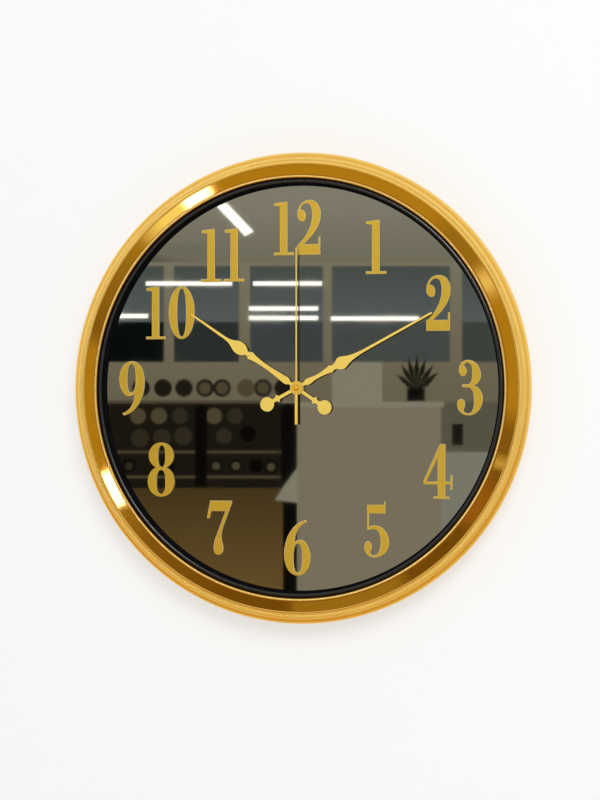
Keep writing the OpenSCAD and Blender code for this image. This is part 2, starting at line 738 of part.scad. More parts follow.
// Front half of the movement: plate, walls, cell bay, and the posts and bearings for the train.
module movement_case() {
  reach = inner_half + 0.1;
  slot_top = plate_back - 0.2;
  color("gray")
    stand()
      difference() {
        union() {
          translate([0, case_mid, plate_back])
            linear_extrude(plate_front - plate_back)
              round_square(case_w, case_h, corner_r);
          translate([0, case_mid, cover_front])
            linear_extrude(gear_room + 0.1)
              difference() {
                round_square(case_w, case_h, corner_r);
                round_square(2 * inner_half, case_h - 2 * case_wall, corner_r - case_wall);
              }
          box(-reach, reach, bay_top, bay_top + part_wall, cover_front, plate_back + 0.1);
          post(minute_at, minute_level - 0.2, plate_back + 0.1, post_r);
          post(rotor_at, stator_level + 2.5, plate_back + 0.1, 1.6);
          for (x = [coil_left - 2.5, coil_right + 2.4]) {
            post([x, coil_y], core_level + stator_t, plate_back + 0.1, 1.5);
            post([x, coil_y], stator_level - 0.4, plate_back, post_r);
          }
          for (x = [6, board_x1 - 3.4])
            post([x, board_y0 + 3], board_level + board_t, plate_back + 0.1, 1.5);
        }
        post([0, 0], plate_back - 1, plate_front + 1, bush_r + snug_clear);
        post(rotor_at, stator_level + 2, stator_level + 3.6, 0.4 + run_clear);
        post(third_at, plate_back - 1, plate_back + 0.9, arbor_r + run_clear);
        post(setting_at, plate_back - 1, plate_back + 0.9, post_r + run_clear);
        for (sx = [-1, 1])
          translate([sx * inner_half, 0, 0])
            box(-0.8, 0.8, bay_top - 1, bay_top + part_wall + 1, cell_z - 1.5, slot_top);
        for (sx = [-1, 1], y = [-6, 14])
          translate([sx * case_half, y, cover_front])
            box(-2, 2, -3.3, 3.3, 2.2, 4);
      }
}

// Rear cover over the train, with the posts and bearings, and four hooks that snap into the case walls.
module movement_cover() {
  color("dimgray")
    stand()
      difference() {
        union() {
          intersection() {
            translate([0, case_mid, cover_back])
              linear_extrude(cover_t)
                round_square(case_w, case_h, corner_r);
            box(-case_w, case_w, bay_top, case_h, cover_back - 1, cover_front + 1);
          }
          post(mid_at, cover_front - 0.1, centre_level - 0.6, post_r);
          post(mid_at, cover_front - 0.1, mid_level - 0.9, 1.3);
          post([0, 0], cover_front - 0.1, second_level - 1.5, 1.5);
          for (sx = [-1, 1], y = [-6, 14]) {
            translate([sx * (inner_half - 0.8), y, cover_front])
              box(-0.5, 0.5, -3, 3, -0.1, 3.7);
            translate([sx * (inner_half - 0.05), y, cover_front])
              box(-0.45, 0.45, -3, 3, 2.5, 3.7);
          }
        }
        post([0, 0], cover_back + 0.4, second_level, arbor_r + run_clear);
        post(rotor_at, cover_back + 0.4, cover_front + 1, 0.4 + run_clear);
        post(third_at, cover_back + 0.4, cover_front + 1, arbor_r + run_clear);
        post(setting_at, cover_back - 1, cover_front + 1, 1.5 + run_clear);
      }
}

module circuit_board() {
  color("darkgreen")
    stand() {
      box(3.2, board_x1, board_y0, board_y0 + 5.9, board_level, board_level + board_t);
      post([board_x1 - 4.9, board_y0 + 3], board_level - 0.8, board_level, 2.3);
    }
}

module quartz_crystal() {
  y = board_y0 + 3;
  z = board_level - 1.05;
  color("silver")
    stand() {
      translate([7, y, z]) rotate([0, 90, 0]) cylinder(h = 6.2, r = 1);
      for (s = [-1, 1]) {
        box(13.1, 15, y + s * 0.4 - 0.15, y + s * 0.4 + 0.15, z - 0.15, z + 0.15);
        box(14.7, 15, y + s * 0.4 - 0.15, y + s * 0.4 + 0.15, z, board_level);
      }
    }
}

module along_x(x0, x1, r) {
  translate([x0, coil_y, coil_z])
    rotate([0, 90, 0])
      cylinder(h = x1 - x0, r = r);
}

module coil_bobbin() {
  color("white")
    stand()
      difference() {
        union() {
          along_x(coil_left, coil_right, 1.9);
          along_x(coil_left, coil_left + 0.8, 3.3);
          along_x(coil_right - 0.8, coil_right, 3.3);
        }
        translate([0, coil_y, core_level])
          box(coil_left - 1, coil_right + 1, -1.3, 1.3, -0.1, stator_t + 0.1);
      }
}

module coil_winding() {
  color("peru")
    stand()
      difference() {
        along_x(coil_left + 0.82, coil_right - 0.82, 3.1);
        along_x(coil_left, coil_right, 1.92);
      }
}

module coil_core() {
  color("slategray")
    stand()
      difference() {
        translate([0, coil_y, core_level])
          box(coil_left - 4.5, coil_right + 4.4, -1.2, 1.2, 0, stator_t);
        for (x = [coil_left - 2.5, coil_right + 2.4])
          post([x, coil_y], core_level - 1, core_level + 2, post_r + snug_clear);
      }
}

// Flat iron yoke: a ring round the rotor with two arms up to the ends of the coil's core.
module stator() {
  c = rotor_at;
  arm = coil_y + 1.8;
  color("slategray")
    stand()
      translate([0, 0, stator_level])
        difference() {
          union() {
            translate([c[0], c[1], 0]) cylinder(h = stator_t, r = 5);
            linear_extrude(stator_t)
              polygon([
                [c[0] + 1, c[1] - 3.4], [coil_left - 4.6, c[1] - 3.4], [coil_left - 4.6, arm],
                [coil_left - 0.5, arm], [coil_left - 0.5, c[1] + 3.4], [c[0] + 1, c[1] + 3.4]
              ]);
            linear_extrude(stator_t)
              polygon([
                [c[0], c[1] - 3.5], [c[0] + 5.4, c[1] - 3.5], [c[0] + 6.3, c[1] + 0.4],
                [coil_right - 0.6, coil_y - 5.8], [coil_right + 4.6, coil_y - 4.6],
                [coil_right + 4.6, arm], [coil_right + 0.4, arm], [coil_right + 0.4, coil_y - 3.8],
                [coil_right - 1.6, coil_y - 3.8], [c[0] + 4.7, c[1] + 4.3], [c[0], c[1] + 3.5]
              ]);
          }
          post(c, -1, stator_t + 1, 3.2);
          for (s = [-1, 1])
            post(c + [0, 5.2 * s], -1, stator_t + 1, 0.9);
          for (x = [coil_left - 2.5, coil_right + 2.4])
            post([x, coil_y], -1, stator_t + 1, post_r + snug_clear);
        }
}

module rotor_magnet() {
  color("darkslategray")
    stand()
      difference() {
        post(rotor_at, second_level, stator_level + 2.2, 2.8);
        post(rotor_at, second_level - 1, stator_level + 3, 0.4 + snug_clear);
      }
}

module rotor_pinion() {
  color("ivory")
    stand() {
      gear(rotor_at, rotor_n, rotor_m, mid_level - 0.15, second_level - mid_level - 0.1, rotor_turn);
      post(rotor_at, cover_back + 0.5, stator_level + 3.3, 0.4);
    }
}

module intermediate_wheel() {
  color("ivory")
    stand()
      difference() {
        union() {
          gear(mid_at, mid_wheel_n, rotor_m, mid_level, mid_t, 0);
          gear(mid_at, mid_pinion_n, second_m, mid_level + mid_t - 0.1, wheel_t + 0.9, mid_turn);
          post(mid_at, mid_level - 0.6, centre_level - level_gap, 1.1);
        }
        post(mid_at, cover_front, plate_back, post_r + run_clear);
      }
}

module second_wheel() {
  pinion_z = second_level + 0.9;
  pinion_h = third_level + wheel_t + 0.15 - pinion_z;
  color("ivory")
    stand() {
      gear([0, 0], second_wheel_n, second_m, second_level, wheel_t, 0);
      gear([0, 0], second_pinion_n, third_m, pinion_z, pinion_h, 0, 0.8);
      post([0, 0], cover_back + 0.5, second_z + hand_t * 0.8 + 0.5, arbor_r);
    }
}

module third_wheel() {
  pinion_z = third_level + 0.9;
  pinion_h = centre_level + wheel_t + 0.2 - pinion_z;
  color("ivory")
    stand() {
      gear(third_at, third_wheel_n, third_m, third_level, wheel_t, third_turn, 0.8);
      gear(third_at, third_pinion_n, centre_m, pinion_z, pinion_h, 0, 0.8);
      post(third_at, cover_back + 0.5, plate_back + 0.8, arbor_r);
      post(third_at, cover_front + 0.3, third_level + 0.1, 1.2);
    }
}

module centre_wheel() {
  color("ivory")
    stand()
      difference() {
        gear([0, 0], centre_wheel_n, centre_m, centre_level, wheel_t, centre_turn, 0.8);
        post([0, 0], centre_level - 1, centre_level + 2, 1.5 + run_clear);
      }
}

// Dished washer that presses the centre wheel against the cannon pinion, so the hands can be set.
module clutch_spring() {
  color("silver")
    stand()
      rotate_extrude()
        polygon([
          [1.6, collar_level + 0.33], [3.2, centre_level - 0.2], [3.2, centre_level - 0.02],
          [1.6, collar_level + 0.52]
        ]);
}

module cannon_pinion() {
  color("khaki")
    stand()
      difference() {
        union() {
          post([0, 0], collar_level, collar_level + 0.3, 2.1);
          post([0, 0], collar_level + 0.2, centre_level + wheel_t + 0.2, 1.5);
          gear([0, 0], cannon_n, cannon_m, centre_level + wheel_t + 0.08, level_gap + wheel_t, 0);
          post([0, 0], centre_level + wheel_t + 0.1, minute_z + 2 * hand_t + 0.05, minute_tube_r);
        }
        post([0, 0], collar_level - 1, minute_z + 2 * hand_t + 1, arbor_r + run_clear);
      }
}

module minute_wheel() {
  pinion_h = hour_level - minute_level + 0.1;
  color("ivory")
    stand()
      difference() {
        union() {
          gear(minute_at, minute_wheel_n, cannon_m, minute_level, wheel_t, minute_turn);
          gear(minute_at, minute_pinion_n, hour_m, minute_level + 0.9, pinion_h, 0);
        }
        post(minute_at, minute_level - 1, plate_back, post_r + run_clear);
      }
}

module hour_wheel() {
  color("ivory")
    stand()
      difference() {
        union() {
          gear([0, 0], hour_wheel_n, hour_m, hour_level, wheel_t, hour_turn);
          post([0, 0], hour_level, hour_z + 2 * hand_t + 0.05, hour_tube_r);
        }
        post([0, 0], hour_level - 1, hour_z + 2 * hand_t + 1, minute_tube_r + run_clear);
      }
}

module setting_gear() {
  color("ivory")
    stand() {
      gear(setting_at, setting_n, cannon_m, minute_level, wheel_t, setting_turn);
      post(setting_at, cover_front + 0.3, plate_back - 0.3, 1.9);
      post(setting_at, knob_gap + 0.5, minute_level, 1.5);
      post(setting_at, minute_level, plate_back + 0.8, post_r);
    }
}

module set_knob() {
  color("dimgray")
    stand()
      difference() {
        post(setting_at, knob_gap, knob_gap + knob_h, knob_r);
        post(setting_at, knob_gap + 0.5, knob_gap + knob_h + 1, 1.5 + snug_clear);
        for (k = [0:17])
          translate(polar(knob_r + 0.2, 20 * k))
            post(setting_at, knob_gap - 1, knob_gap + knob_h + 1, 0.5, $fn = 16);
      }
}

module battery() {
  left = contact_room + 0.2 - inner_half;
  color("darkorange")
    stand()
      translate([left, cell_y, cell_z])
        rotate([0, 90, 0])
          rotate_extrude()
            polygon([
              [0, 0], [cell_r - 0.6, 0], [cell_r, 0.6], [cell_r, cell_len - 2],
              [cell_r - 0.6, cell_len - 1.4], [2.7, cell_len - 1.4], [2.7, cell_len], [0, cell_len]
            ]);
}

// Spring leaf against the cell's nub, with a tail along the wall to the circuit board.
module contact_positive() {
  wall = inner_half - 0.02;
  color("silver")
    stand() {
      box(wall - 0.4, wall, cell_y - 4, bay_top - 0.3, cell_z - 4, cell_z + 4);
      box(wall - 0.4, wall, bay_top - 0.4, board_y0 + 2, cell_z + 1, cell_z + 3);
      box(wall - 0.4, wall, board_y0 + 0.5, board_y0 + 2, cell_z + 2, board_top + 0.3);
      box(board_x1 - 1.4, wall, board_y0 + 0.5, board_y0 + 2, board_top, board_top + 0.3);
    }
}

// Bowed spring leaf against the cell's flat end, with a tail along the walls to the circuit board.
module contact_negative() {
  wall = -inner_half + 0.02;
  top = case_top - case_wall - 0.02;
  bend = corner_r - case_wall;
  tail = plate_back - 2.2;
  color("silver")
    stand() {
      box(wall, wall + 0.4, cell_y - 4, bay_top - 0.3, cell_z - 4, cell_z + 4);
      difference() {
        translate([wall + 0.3, cell_y, cell_z - 3]) intersection() {
          translate([-7, 0, 0]) cylinder(h = 6, r = 8.2);
          box(0, 3, -4, 4, -1, 8);
        }
        translate([wall + 0.3 - 7, cell_y, cell_z - 4]) cylinder(h = 8, r = 7.8);
      }
      box(wall, wall + 0.4, bay_top - 2, bay_top - 0.3, cell_z, tail + 1.6);
      translate([0, 0, tail])
        linear_extrude(1.6)
          polygon([
            [wall, bay_top - 0.4], [wall, top - bend], [wall + bend, top], [4.6, top], [4.6, top - 0.4],
            [wall + bend + 0.2, top - 0.4], [wall + 0.4, top - bend - 0.2], [wall + 0.4, bay_top - 0.4]
          ]);
      box(3.4, 4.6, board_y0 + 4.6, top, board_top, board_top + 0.3);
      box(3.4, 4.6, top - 0.4, top, board_top, tail + 0.1);
    }
}

bezel();
gasket_ring();
mirror_dial();
back_pan();
case_screws();
numeral(1);  // numeral_1
numeral(2);  // numeral_2
numeral(3);  // numeral_3
numeral(4);  // numeral_4
numeral(5);  // numeral_5
numeral(6);  // numeral_6
numeral(7);  // numeral_7
numeral(8);  // numeral_8
numeral(9);  // numeral_9
numeral(10);  // numeral_10
numeral(11);  // numeral_11
numeral(12);  // numeral_12
hour_hand();
minute_hand();
second_hand();
second_hand_cap();
fixing_nut();
brass_washer();
rubber_washer();
movement_case();
movement_cover();
threaded_bush();
circuit_board();
quartz_crystal();
coil_bobbin();
coil_winding();
coil_core();
stator();
rotor_magnet();
rotor_pinion();
intermediate_wheel();
second_wheel();
third_wheel();
centre_wheel();
clutch_spring();
cannon_pinion();
minute_wheel();
hour_wheel();
setting_gear();
set_knob();
battery();
contact_positive();
contact_negative();
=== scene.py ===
import math

import bmesh
import bpy
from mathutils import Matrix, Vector


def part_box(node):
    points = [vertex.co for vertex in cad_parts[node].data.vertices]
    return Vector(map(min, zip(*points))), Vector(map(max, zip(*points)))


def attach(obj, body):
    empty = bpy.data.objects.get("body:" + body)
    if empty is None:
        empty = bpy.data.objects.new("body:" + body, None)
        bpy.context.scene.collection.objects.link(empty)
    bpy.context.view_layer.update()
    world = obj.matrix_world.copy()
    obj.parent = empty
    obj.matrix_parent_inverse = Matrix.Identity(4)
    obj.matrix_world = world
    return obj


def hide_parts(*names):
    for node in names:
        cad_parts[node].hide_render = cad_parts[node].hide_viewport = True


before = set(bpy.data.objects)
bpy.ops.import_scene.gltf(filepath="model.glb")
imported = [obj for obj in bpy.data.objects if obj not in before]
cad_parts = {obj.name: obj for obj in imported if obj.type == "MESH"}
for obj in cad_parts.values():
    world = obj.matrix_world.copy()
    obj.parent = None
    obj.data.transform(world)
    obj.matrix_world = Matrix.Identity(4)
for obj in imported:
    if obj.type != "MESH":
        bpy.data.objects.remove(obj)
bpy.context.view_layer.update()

MM = 0.001
# The keyhole, which is the row's origin, lies this far above the dial's centre, in mm
RISE = 150.0
# Front of the mirror, in mm from the wall
GLASS = 23.0


def row(x, y, z):
    """Dial coordinates in mm, x right, y up and z from the wall, to the row frame in metres."""
    return Vector((x, -z, y - RISE)) * MM


# Looks

# Most of a noise texture's values lie between these
NOISE_LOW, NOISE_HIGH = 0.3, 0.7
# How much slower a ring's grain changes along the ring than across it
ALONG_RING = 0.02
# The second hand's gold is painted deeper, as shade, within this distance of the dial axis, in mm
BOSS_SHADE_REACH = 11.0
# A brush mark's scale across it and along it
BRUSH = (1.0, 1.0, 0.06)
# Share of the cell's length where its bare ends and its stripe start and stop
CELL_BARE, CELL_STRIPE = (0.012, 0.964), (0.74, 0.79)


class Graph:
    """A node tree with short calls for the few kinds of node that are used here."""

    def __init__(self, tree):
        self.tree = tree

    def node(self, kind, sockets=None, **values):
        made = self.tree.nodes.new("ShaderNode" + kind)
        for key, value in values.items():
            setattr(made, key, value)
        for key, value in (sockets or {}).items():
            self.feed(made.inputs[key], value)
        return made

    def feed(self, socket, value):
        """Links an output to a socket, or sets the socket to a constant."""
        if isinstance(value, bpy.types.NodeSocket):
            self.tree.links.new(value, socket)
        else:
            socket.default_value = value

    def maths(self, how, a, b=0.0, clamp=False):
        return self.node("Math", {0: a, 1: b}, operation=how, use_clamp=clamp).outputs[0]

    def mix(self, share, a, b):
        return self.node("MixShader", {0: share, 1: a, 2: b}).outputs[0]

    def seen(self):
        """1 for rays from the camera and for those that mirror or pass the picture on."""
        path = self.node("LightPath").outputs
        both = self.maths("ADD", path["Is Camera Ray"], path["Is Glossy Ray"])
        return self.maths("ADD", both, path["Is Transmission Ray"], clamp=True)


def fresh(name):
    """A new material, its graph with nothing in it but the output, and the output's socket."""
    mat = bpy.data.materials.new(name)
    mat.use_nodes = True
    mat.node_tree.nodes.clear()
    graph = Graph(mat.node_tree)
    return mat, graph, graph.node("OutputMaterial").inputs["Surface"]


class Look(Graph):
    """A procedural material round one Principled shader."""

    def __init__(self, name, colour, rough, metal=0.0):
        self.mat, graph, surface = fresh(name)
        super().__init__(graph.tree)
        self.colour = colour
        self.rough = rough
        self.shader = self.node("BsdfPrincipled", {
            "Base Color": (*colour, 1.0), "Roughness": rough, "Metallic": metal,
        })
        self.feed(surface, self.shader.outputs[0])
        self.place = self.node("TexCoord").outputs["Object"]

    def noise(self, scale, detail=3.0, rough=0.55, place=None, stretch=None):
        place = place or self.place
        if stretch:
            place = self.node("Mapping", {"Vector": place, "Scale": stretch}).outputs[0]
        return self.node("TexNoise", {
            "Vector": place, "Scale": scale, "Detail": detail, "Roughness": rough,
        }).outputs["Fac"]

    def polar(self):
        """Distance from the dial axis, place before the wall, and a place that changes slowly round it."""
        x, y, z = self.node("SeparateXYZ", {0: self.place}).outputs
        up = self.maths("ADD", z, RISE * MM)
        square = self.maths("ADD", self.maths("MULTIPLY", x, x), self.maths("MULTIPLY", up, up))
        along = self.maths("MULTIPLY", self.maths("ADD", x, up), ALONG_RING)
        return self.maths("SQRT", square), y, along

    def rings(self):
        """Coordinates that change fast across the rings of a turned piece and slowly along them."""
        radius, depth, along = self.polar()
        return self.node("CombineXYZ", {0: radius, 1: depth, 2: along}).outputs[0]

    def tint(self, value, dark, light):
        """Base colour between two tones by a 0 to 1 value."""
        ramp = self.node("ValToRGB", {0: value})
        for element, place, tone in zip(ramp.color_ramp.elements, (NOISE_LOW, NOISE_HIGH), (dark, light)):
            element.position = place
            element.color = (*tone, 1.0)
        self.feed(self.shader.inputs["Base Color"], ramp.outputs[0])
        return self

    def mottle(self, amount, scale, stretch=None):
        """Base colour that varies by this share either way."""
        dark = tuple(c * (1 - amount) for c in self.colour)
        light = tuple(min(1.0, c * (1 + amount)) for c in self.colour)
        return self.tint(self.noise(scale, detail=4.0, rough=0.6, stretch=stretch), dark, light)

    def uneven(self, spread, scale, place=None, stretch=None):
        """Roughness that varies by this much either way."""
        span = self.node("MapRange", {
            "Value": self.noise(scale, detail=4.0, rough=0.6, place=place, stretch=stretch),
            "From Min": NOISE_LOW, "From Max": NOISE_HIGH,
            "To Min": max(0.0, self.rough - spread), "To Max": self.rough + spread,
        })
        self.feed(self.shader.inputs["Roughness"], span.outputs[0])
        return self

    def relief(self, height, strength, depth):
        """Fine relief of this depth in mm."""
        bump = self.node("Bump", {"Height": height, "Strength": strength, "Distance": depth * MM})
        self.feed(self.shader.inputs["Normal"], bump.outputs[0])
        return self


def satin_gold():
    """Plating with a fine satin grain along the turned rings."""
    look = Look("gold_satin", (0.97, 0.61, 0.15), rough=0.33, metal=1.0)
    rings = look.rings()
    tone = look.noise(scale=900.0, detail=4.0, rough=0.6, place=rings)
    look.tint(tone, dark=(0.86, 0.535, 0.128), light=(1.0, 0.668, 0.186))
    look.uneven(spread=0.09, scale=1400.0, place=rings)
    grain = look.noise(scale=2600.0, detail=2.0, rough=0.5, place=rings)
    return look.relief(grain, strength=0.05, depth=0.05)


def plated_gold(name, colour, rough):
    look = Look(name, colour, rough, metal=1.0)
    look.mottle(amount=0.04, scale=60.0)
    return look.uneven(spread=0.04, scale=300.0)


def polished_gold():
    """A mirror polish with the faint waves of a moulded piece."""
    look = Look("gold_polished", (0.47, 0.203, 0.022), rough=0.03, metal=1.0)
    look.mottle(amount=0.04, scale=25.0)
    look.uneven(spread=0.012, scale=60.0)
    return look.relief(look.noise(scale=90.0, detail=2.0, rough=0.5), strength=0.015, depth=0.3)


def ring_black(name, tone, rough, specular):
    look = Look(name, (tone, tone, tone * 1.1), rough)
    look.feed(look.shader.inputs["Specular IOR Level"], specular)
    look.mottle(amount=0.25, scale=70.0)
    look.uneven(spread=0.05, scale=240.0)
    return look.relief(look.noise(scale=2600.0), strength=0.03, depth=0.03)


def tinted_mirror():
    look = Look("mirror_tinted", (0.215, 0.193, 0.158), rough=0.018, metal=1.0)
    look.mottle(amount=0.015, scale=9.0)
    return look.uneven(spread=0.005, scale=35.0)


def brushed(name, colour, rough, metal=1.0):
    """Lacquered gold with a fine upright brush mark."""
    look = Look(name, colour, rough, metal)
    look.mottle(amount=0.04, scale=2200.0, stretch=BRUSH)
    look.uneven(spread=0.03, scale=2600.0, stretch=BRUSH)
    marks = look.noise(scale=4200.0, detail=2.0, rough=0.5, stretch=BRUSH)
    return look.relief(marks, strength=0.03, depth=0.03)


def boss_gold_shaded():
    """The second hand's gold, with shade painted deeper round its boss."""
    look = brushed("boss_gold_shaded", (0.99, 0.69, 0.14), rough=0.28, metal=0.55)
    share = look.maths("DIVIDE", look.polar()[0], BOSS_SHADE_REACH * MM)
    return look.tint(share, dark=(0.84, 0.49, 0.05), light=look.colour)


def moulded(name, colour, rough, grain=3000.0, strength=0.14):
    look = Look(name, colour, rough)
    look.mottle(amount=0.12, scale=110.0)
    look.uneven(spread=0.07, scale=380.0)
    return look.relief(look.noise(scale=grain, rough=0.65), strength, depth=0.08)


def metal(name, colour, rough, scale=700.0):
    look = Look(name, colour, rough, metal=1.0)
    look.mottle(amount=0.08, scale=scale)
    look.uneven(spread=0.07, scale=scale * 1.6)
    return look.relief(look.noise(scale=scale * 4, detail=2.0), strength=0.06, depth=0.03)


def wound_copper():
    look = Look("copper_wire", (0.60, 0.27, 0.10), rough=0.32, metal=0.8)
    wave = {"Vector": look.place, "Scale": 1600.0, "Distortion": 0.6}
    turns = look.node("TexWave", wave, bands_direction="X").outputs["Fac"]
    look.tint(turns, dark=(0.36, 0.14, 0.045), light=(0.68, 0.32, 0.12))
    return look.relief(turns, strength=0.5, depth=0.1)


def green_board():
    look = Look("green_board", (0.03, 0.16, 0.07), rough=0.35)
    cells = {"Vector": look.place, "Scale": 420.0}
    inside = look.node("TexVoronoi", cells, feature="DISTANCE_TO_EDGE").outputs["Distance"]
    look.tint(inside, dark=(0.05, 0.22, 0.09), light=(0.02, 0.12, 0.05))
    return look.relief(inside, strength=0.2, depth=0.1)


def dry_cell():
    """A plain jacket with a pale stripe, and bare metal at both ends."""
    low, high = (corner.x for corner in map(Vector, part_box("battery")))
    look = Look("cell_jacket", (0.02, 0.09, 0.16), rough=0.28)
    x = look.node("SeparateXYZ", {0: look.place}).outputs[0]
    along = look.node("MapRange", {"Value": x, "From Min": low, "From Max": high}).outputs[0]
    steel, jacket, stripe = (0.72, 0.71, 0.68, 1.0), (*look.colour, 1.0), (0.62, 0.62, 0.58, 1.0)
    bands = look.node("ValToRGB", {0: along})
    bands.color_ramp.interpolation = "CONSTANT"
    first, last = bands.color_ramp.elements
    first.color = steel
    last.color = steel
    last.position = CELL_BARE[1]
    for place, tone in ((CELL_BARE[0], jacket), (CELL_STRIPE[0], stripe), (CELL_STRIPE[1], jacket)):
        bands.color_ramp.elements.new(place).color = tone
    look.feed(look.shader.inputs["Base Color"], bands.outputs[0])
    off_middle = look.maths("ABSOLUTE", look.maths("SUBTRACT", along, sum(CELL_BARE) / 2))
    bare = look.maths("GREATER_THAN", off_middle, (CELL_BARE[1] - CELL_BARE[0]) / 2)
    look.feed(look.shader.inputs["Metallic"], bare)
    look.uneven(spread=0.05, scale=200.0)
    return look.relief(look.noise(scale=700.0, detail=2.0), strength=0.04, depth=0.03)


LOOKS = {
    "gold_satin": satin_gold(),
    "gold_edge": plated_gold("gold_edge", (0.58, 0.29, 0.022), rough=0.12),
    # A paler gold on the ridge's and the lip's crests: a painted highlight line
    "gold_painted_highlight": plated_gold("gold_painted_highlight", (0.96, 0.70, 0.28), rough=0.16),
    # A darker gold in the grooves between the reeds: painted shade in the creases
    "gold_groove_shade": plated_gold("gold_groove_shade", (0.80, 0.46, 0.08), rough=0.27),
    "gold_polished": polished_gold(),
    "ring_black": ring_black("ring_black", tone=0.004, rough=0.20, specular=0.4),
    "ring_shade": ring_black("ring_shade", tone=0.006, rough=0.5, specular=0.0),
    "mirror": tinted_mirror(),
    "numeral_face": brushed("numeral_face", (0.75, 0.47, 0.058), rough=0.31),
    # The numerals' edges are a pale gold: a painted highlight along them
    "numeral_edge_highlight": brushed("numeral_edge_highlight", (0.90, 0.80, 0.50), rough=0.24),
    "hand_face": brushed("hand_face", (0.99, 0.69, 0.14), rough=0.32, metal=0.55),
    # The second hand's gold with painted shade round its boss
    "boss_gold_shaded": boss_gold_shaded(),
    "hand_edge": brushed("hand_edge", (0.92, 0.66, 0.22), rough=0.20),
    "cap_gold": metal("cap_gold", (0.82, 0.48, 0.06), rough=0.14),
    "brass": metal("brass", (0.78, 0.60, 0.28), rough=0.25),
    "pan": moulded("pan_black", (0.040, 0.040, 0.043), rough=0.46),
    "case": moulded("case_black", (0.055, 0.055, 0.058), rough=0.38, grain=4200.0, strength=0.10),
    "knob": moulded("knob_grey", (0.22, 0.22, 0.23), rough=0.42, grain=4200.0, strength=0.08),
    "rubber": moulded("rubber", (0.03, 0.03, 0.03), rough=0.75, grain=2000.0, strength=0.2),
    "zinc": metal("zinc", (0.62, 0.63, 0.65), rough=0.28),
    "nickel": metal("nickel", (0.75, 0.74, 0.71), rough=0.18),
    "iron": metal("iron", (0.42, 0.42, 0.43), rough=0.40),
    "magnet": metal("magnet", (0.12, 0.12, 0.13), rough=0.45),
    "nylon": moulded("nylon", (0.86, 0.84, 0.78), rough=0.38, grain=5000.0, strength=0.06),
    "copper": wound_copper(),
    "board": green_board(),
    "jacket": dry_cell(),
}


def paint(node, look):
    """Gives a CAD node its look."""
    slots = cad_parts[node].data.materials
    slots.clear()
    slots.append(LOOKS[look].mat)


# Shapes


def finish_mesh(name, bm, looks, body, node):
    """A piece that stands for a node, from its mesh."""
    mesh = bpy.data.meshes.new(name)
    bm.to_mesh(mesh)
    bm.free()
    for look in looks:
        mesh.materials.append(LOOKS[look].mat)
    made = bpy.data.objects.new(name, mesh)
    bpy.context.scene.collection.objects.link(made)
    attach(made, body)
    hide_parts(node)
    return made


def between(a, b, share):
    return a[0] + (b[0] - a[0]) * share, a[1] + (b[1] - a[1]) * share


def straight(start, end, steps=4):
    """Points on a line, without its end."""
    return [between(start, end, k / steps) for k in range(steps)]


def arc(centre, radius, start, end, steps):
    """Points on an arc from one point's direction to another's, anticlockwise with r right and z up."""
    first, last = (math.atan2(p[1] - centre[1], p[0] - centre[0]) for p in (start, end))
    turn = (last - first) % (2 * math.pi)
    angles = [first + turn * k / steps for k in range(steps + 1)]
    return [(centre[0] + radius * math.cos(a), centre[1] + radius * math.sin(a)) for a in angles]


def crossing(centre, radius, start, end, last):
    """Where the line from start to end crosses a circle, its first crossing or its last."""
    run = (end[0] - start[0], end[1] - start[1])
    off = (start[0] - centre[0], start[1] - centre[1])
    a = run[0] ** 2 + run[1] ** 2
    b = run[0] * off[0] + run[1] * off[1]
    root = math.sqrt(b * b - a * (off[0] ** 2 + off[1] ** 2 - radius * radius))
    return between(start, end, (-b + (root if last else -root)) / a)


def parted(points, *parts):
    """Runs of a curve, each with the number of the point where it ends and with its look."""
    runs = []
    start = 0
    for end, look in parts:
        runs.append((points[start:end], look))
        start = end
    return runs


def turned(runs, steps=480):
    """A closed section turned about the dial axis. Each run is (points, look), sharp where it starts."""
    points, looks, corners = [], [], set()
    for run, look in runs:
        corners.add(len(points))
        points.extend(run)
        looks.extend([look] * len(run))
    count = len(points)
    bm = bmesh.new()
    ring = []
    for i in range(steps):
        a = 2 * math.pi * i / steps
        ring.append([bm.verts.new(row(r * math.sin(a), r * math.cos(a), z)) for r, z in points])
    for here, there in zip(ring, ring[1:] + ring[:1]):
        for k in range(count):
            after = (k + 1) % count
            face = bm.faces.new((here[k], here[after], there[after], there[k]))
            face.material_index = looks[k]
            face.smooth = True
        for k in corners:
            bm.edges.get((here[k], there[k])).smooth = False
    bmesh.ops.recalc_face_normals(bm, faces=bm.faces)
    return bm


# Half section of the frame, (radius, distance from the wall) in mm, with the same values as the CAD
RIM, REED, RIDGE, LIP = (197.3, 25.3), (193.7, 27.8), (190.1, 30.3), (179.5, 30.8)
BEAD, RIDGE_BEAD, LIP_BEAD = 2.7, 0.9, 1.5
GROOVE, FLAT = 0.4, 30.6
BACK, LIP_IN, LEDGE = (193.0, 1.0), 178.0, 27.6
SPIGOT_IN, SPIGOT_OUT, SPIGOT_END = 184.3, 186.1, 17.8
HOLLOW = ((188.1, LEDGE), (194.9, 23.3), (190.6, 1.0))
UNDERCUT = math.radians(15.0)
# Posts for the screws: their circle, and each post's size
POST_AT, POST_FIRST, POSTS = 189.81, 30, 6
POST_RADIUS, POST_BORE, POST_ROOF = 3.2, 1.42, 2.0
POST_REAR, POST_FRONT = 17.5, LEDGE + 0.3
# The frame's looks, by number
SATIN, EDGE, POLISH, CREST_HIGHLIGHT, GROOVE_SHADE = range(5)
FRAME_LOOKS = ["gold_satin", "gold_edge", "gold_polished", "gold_painted_highlight", "gold_groove_shade"]


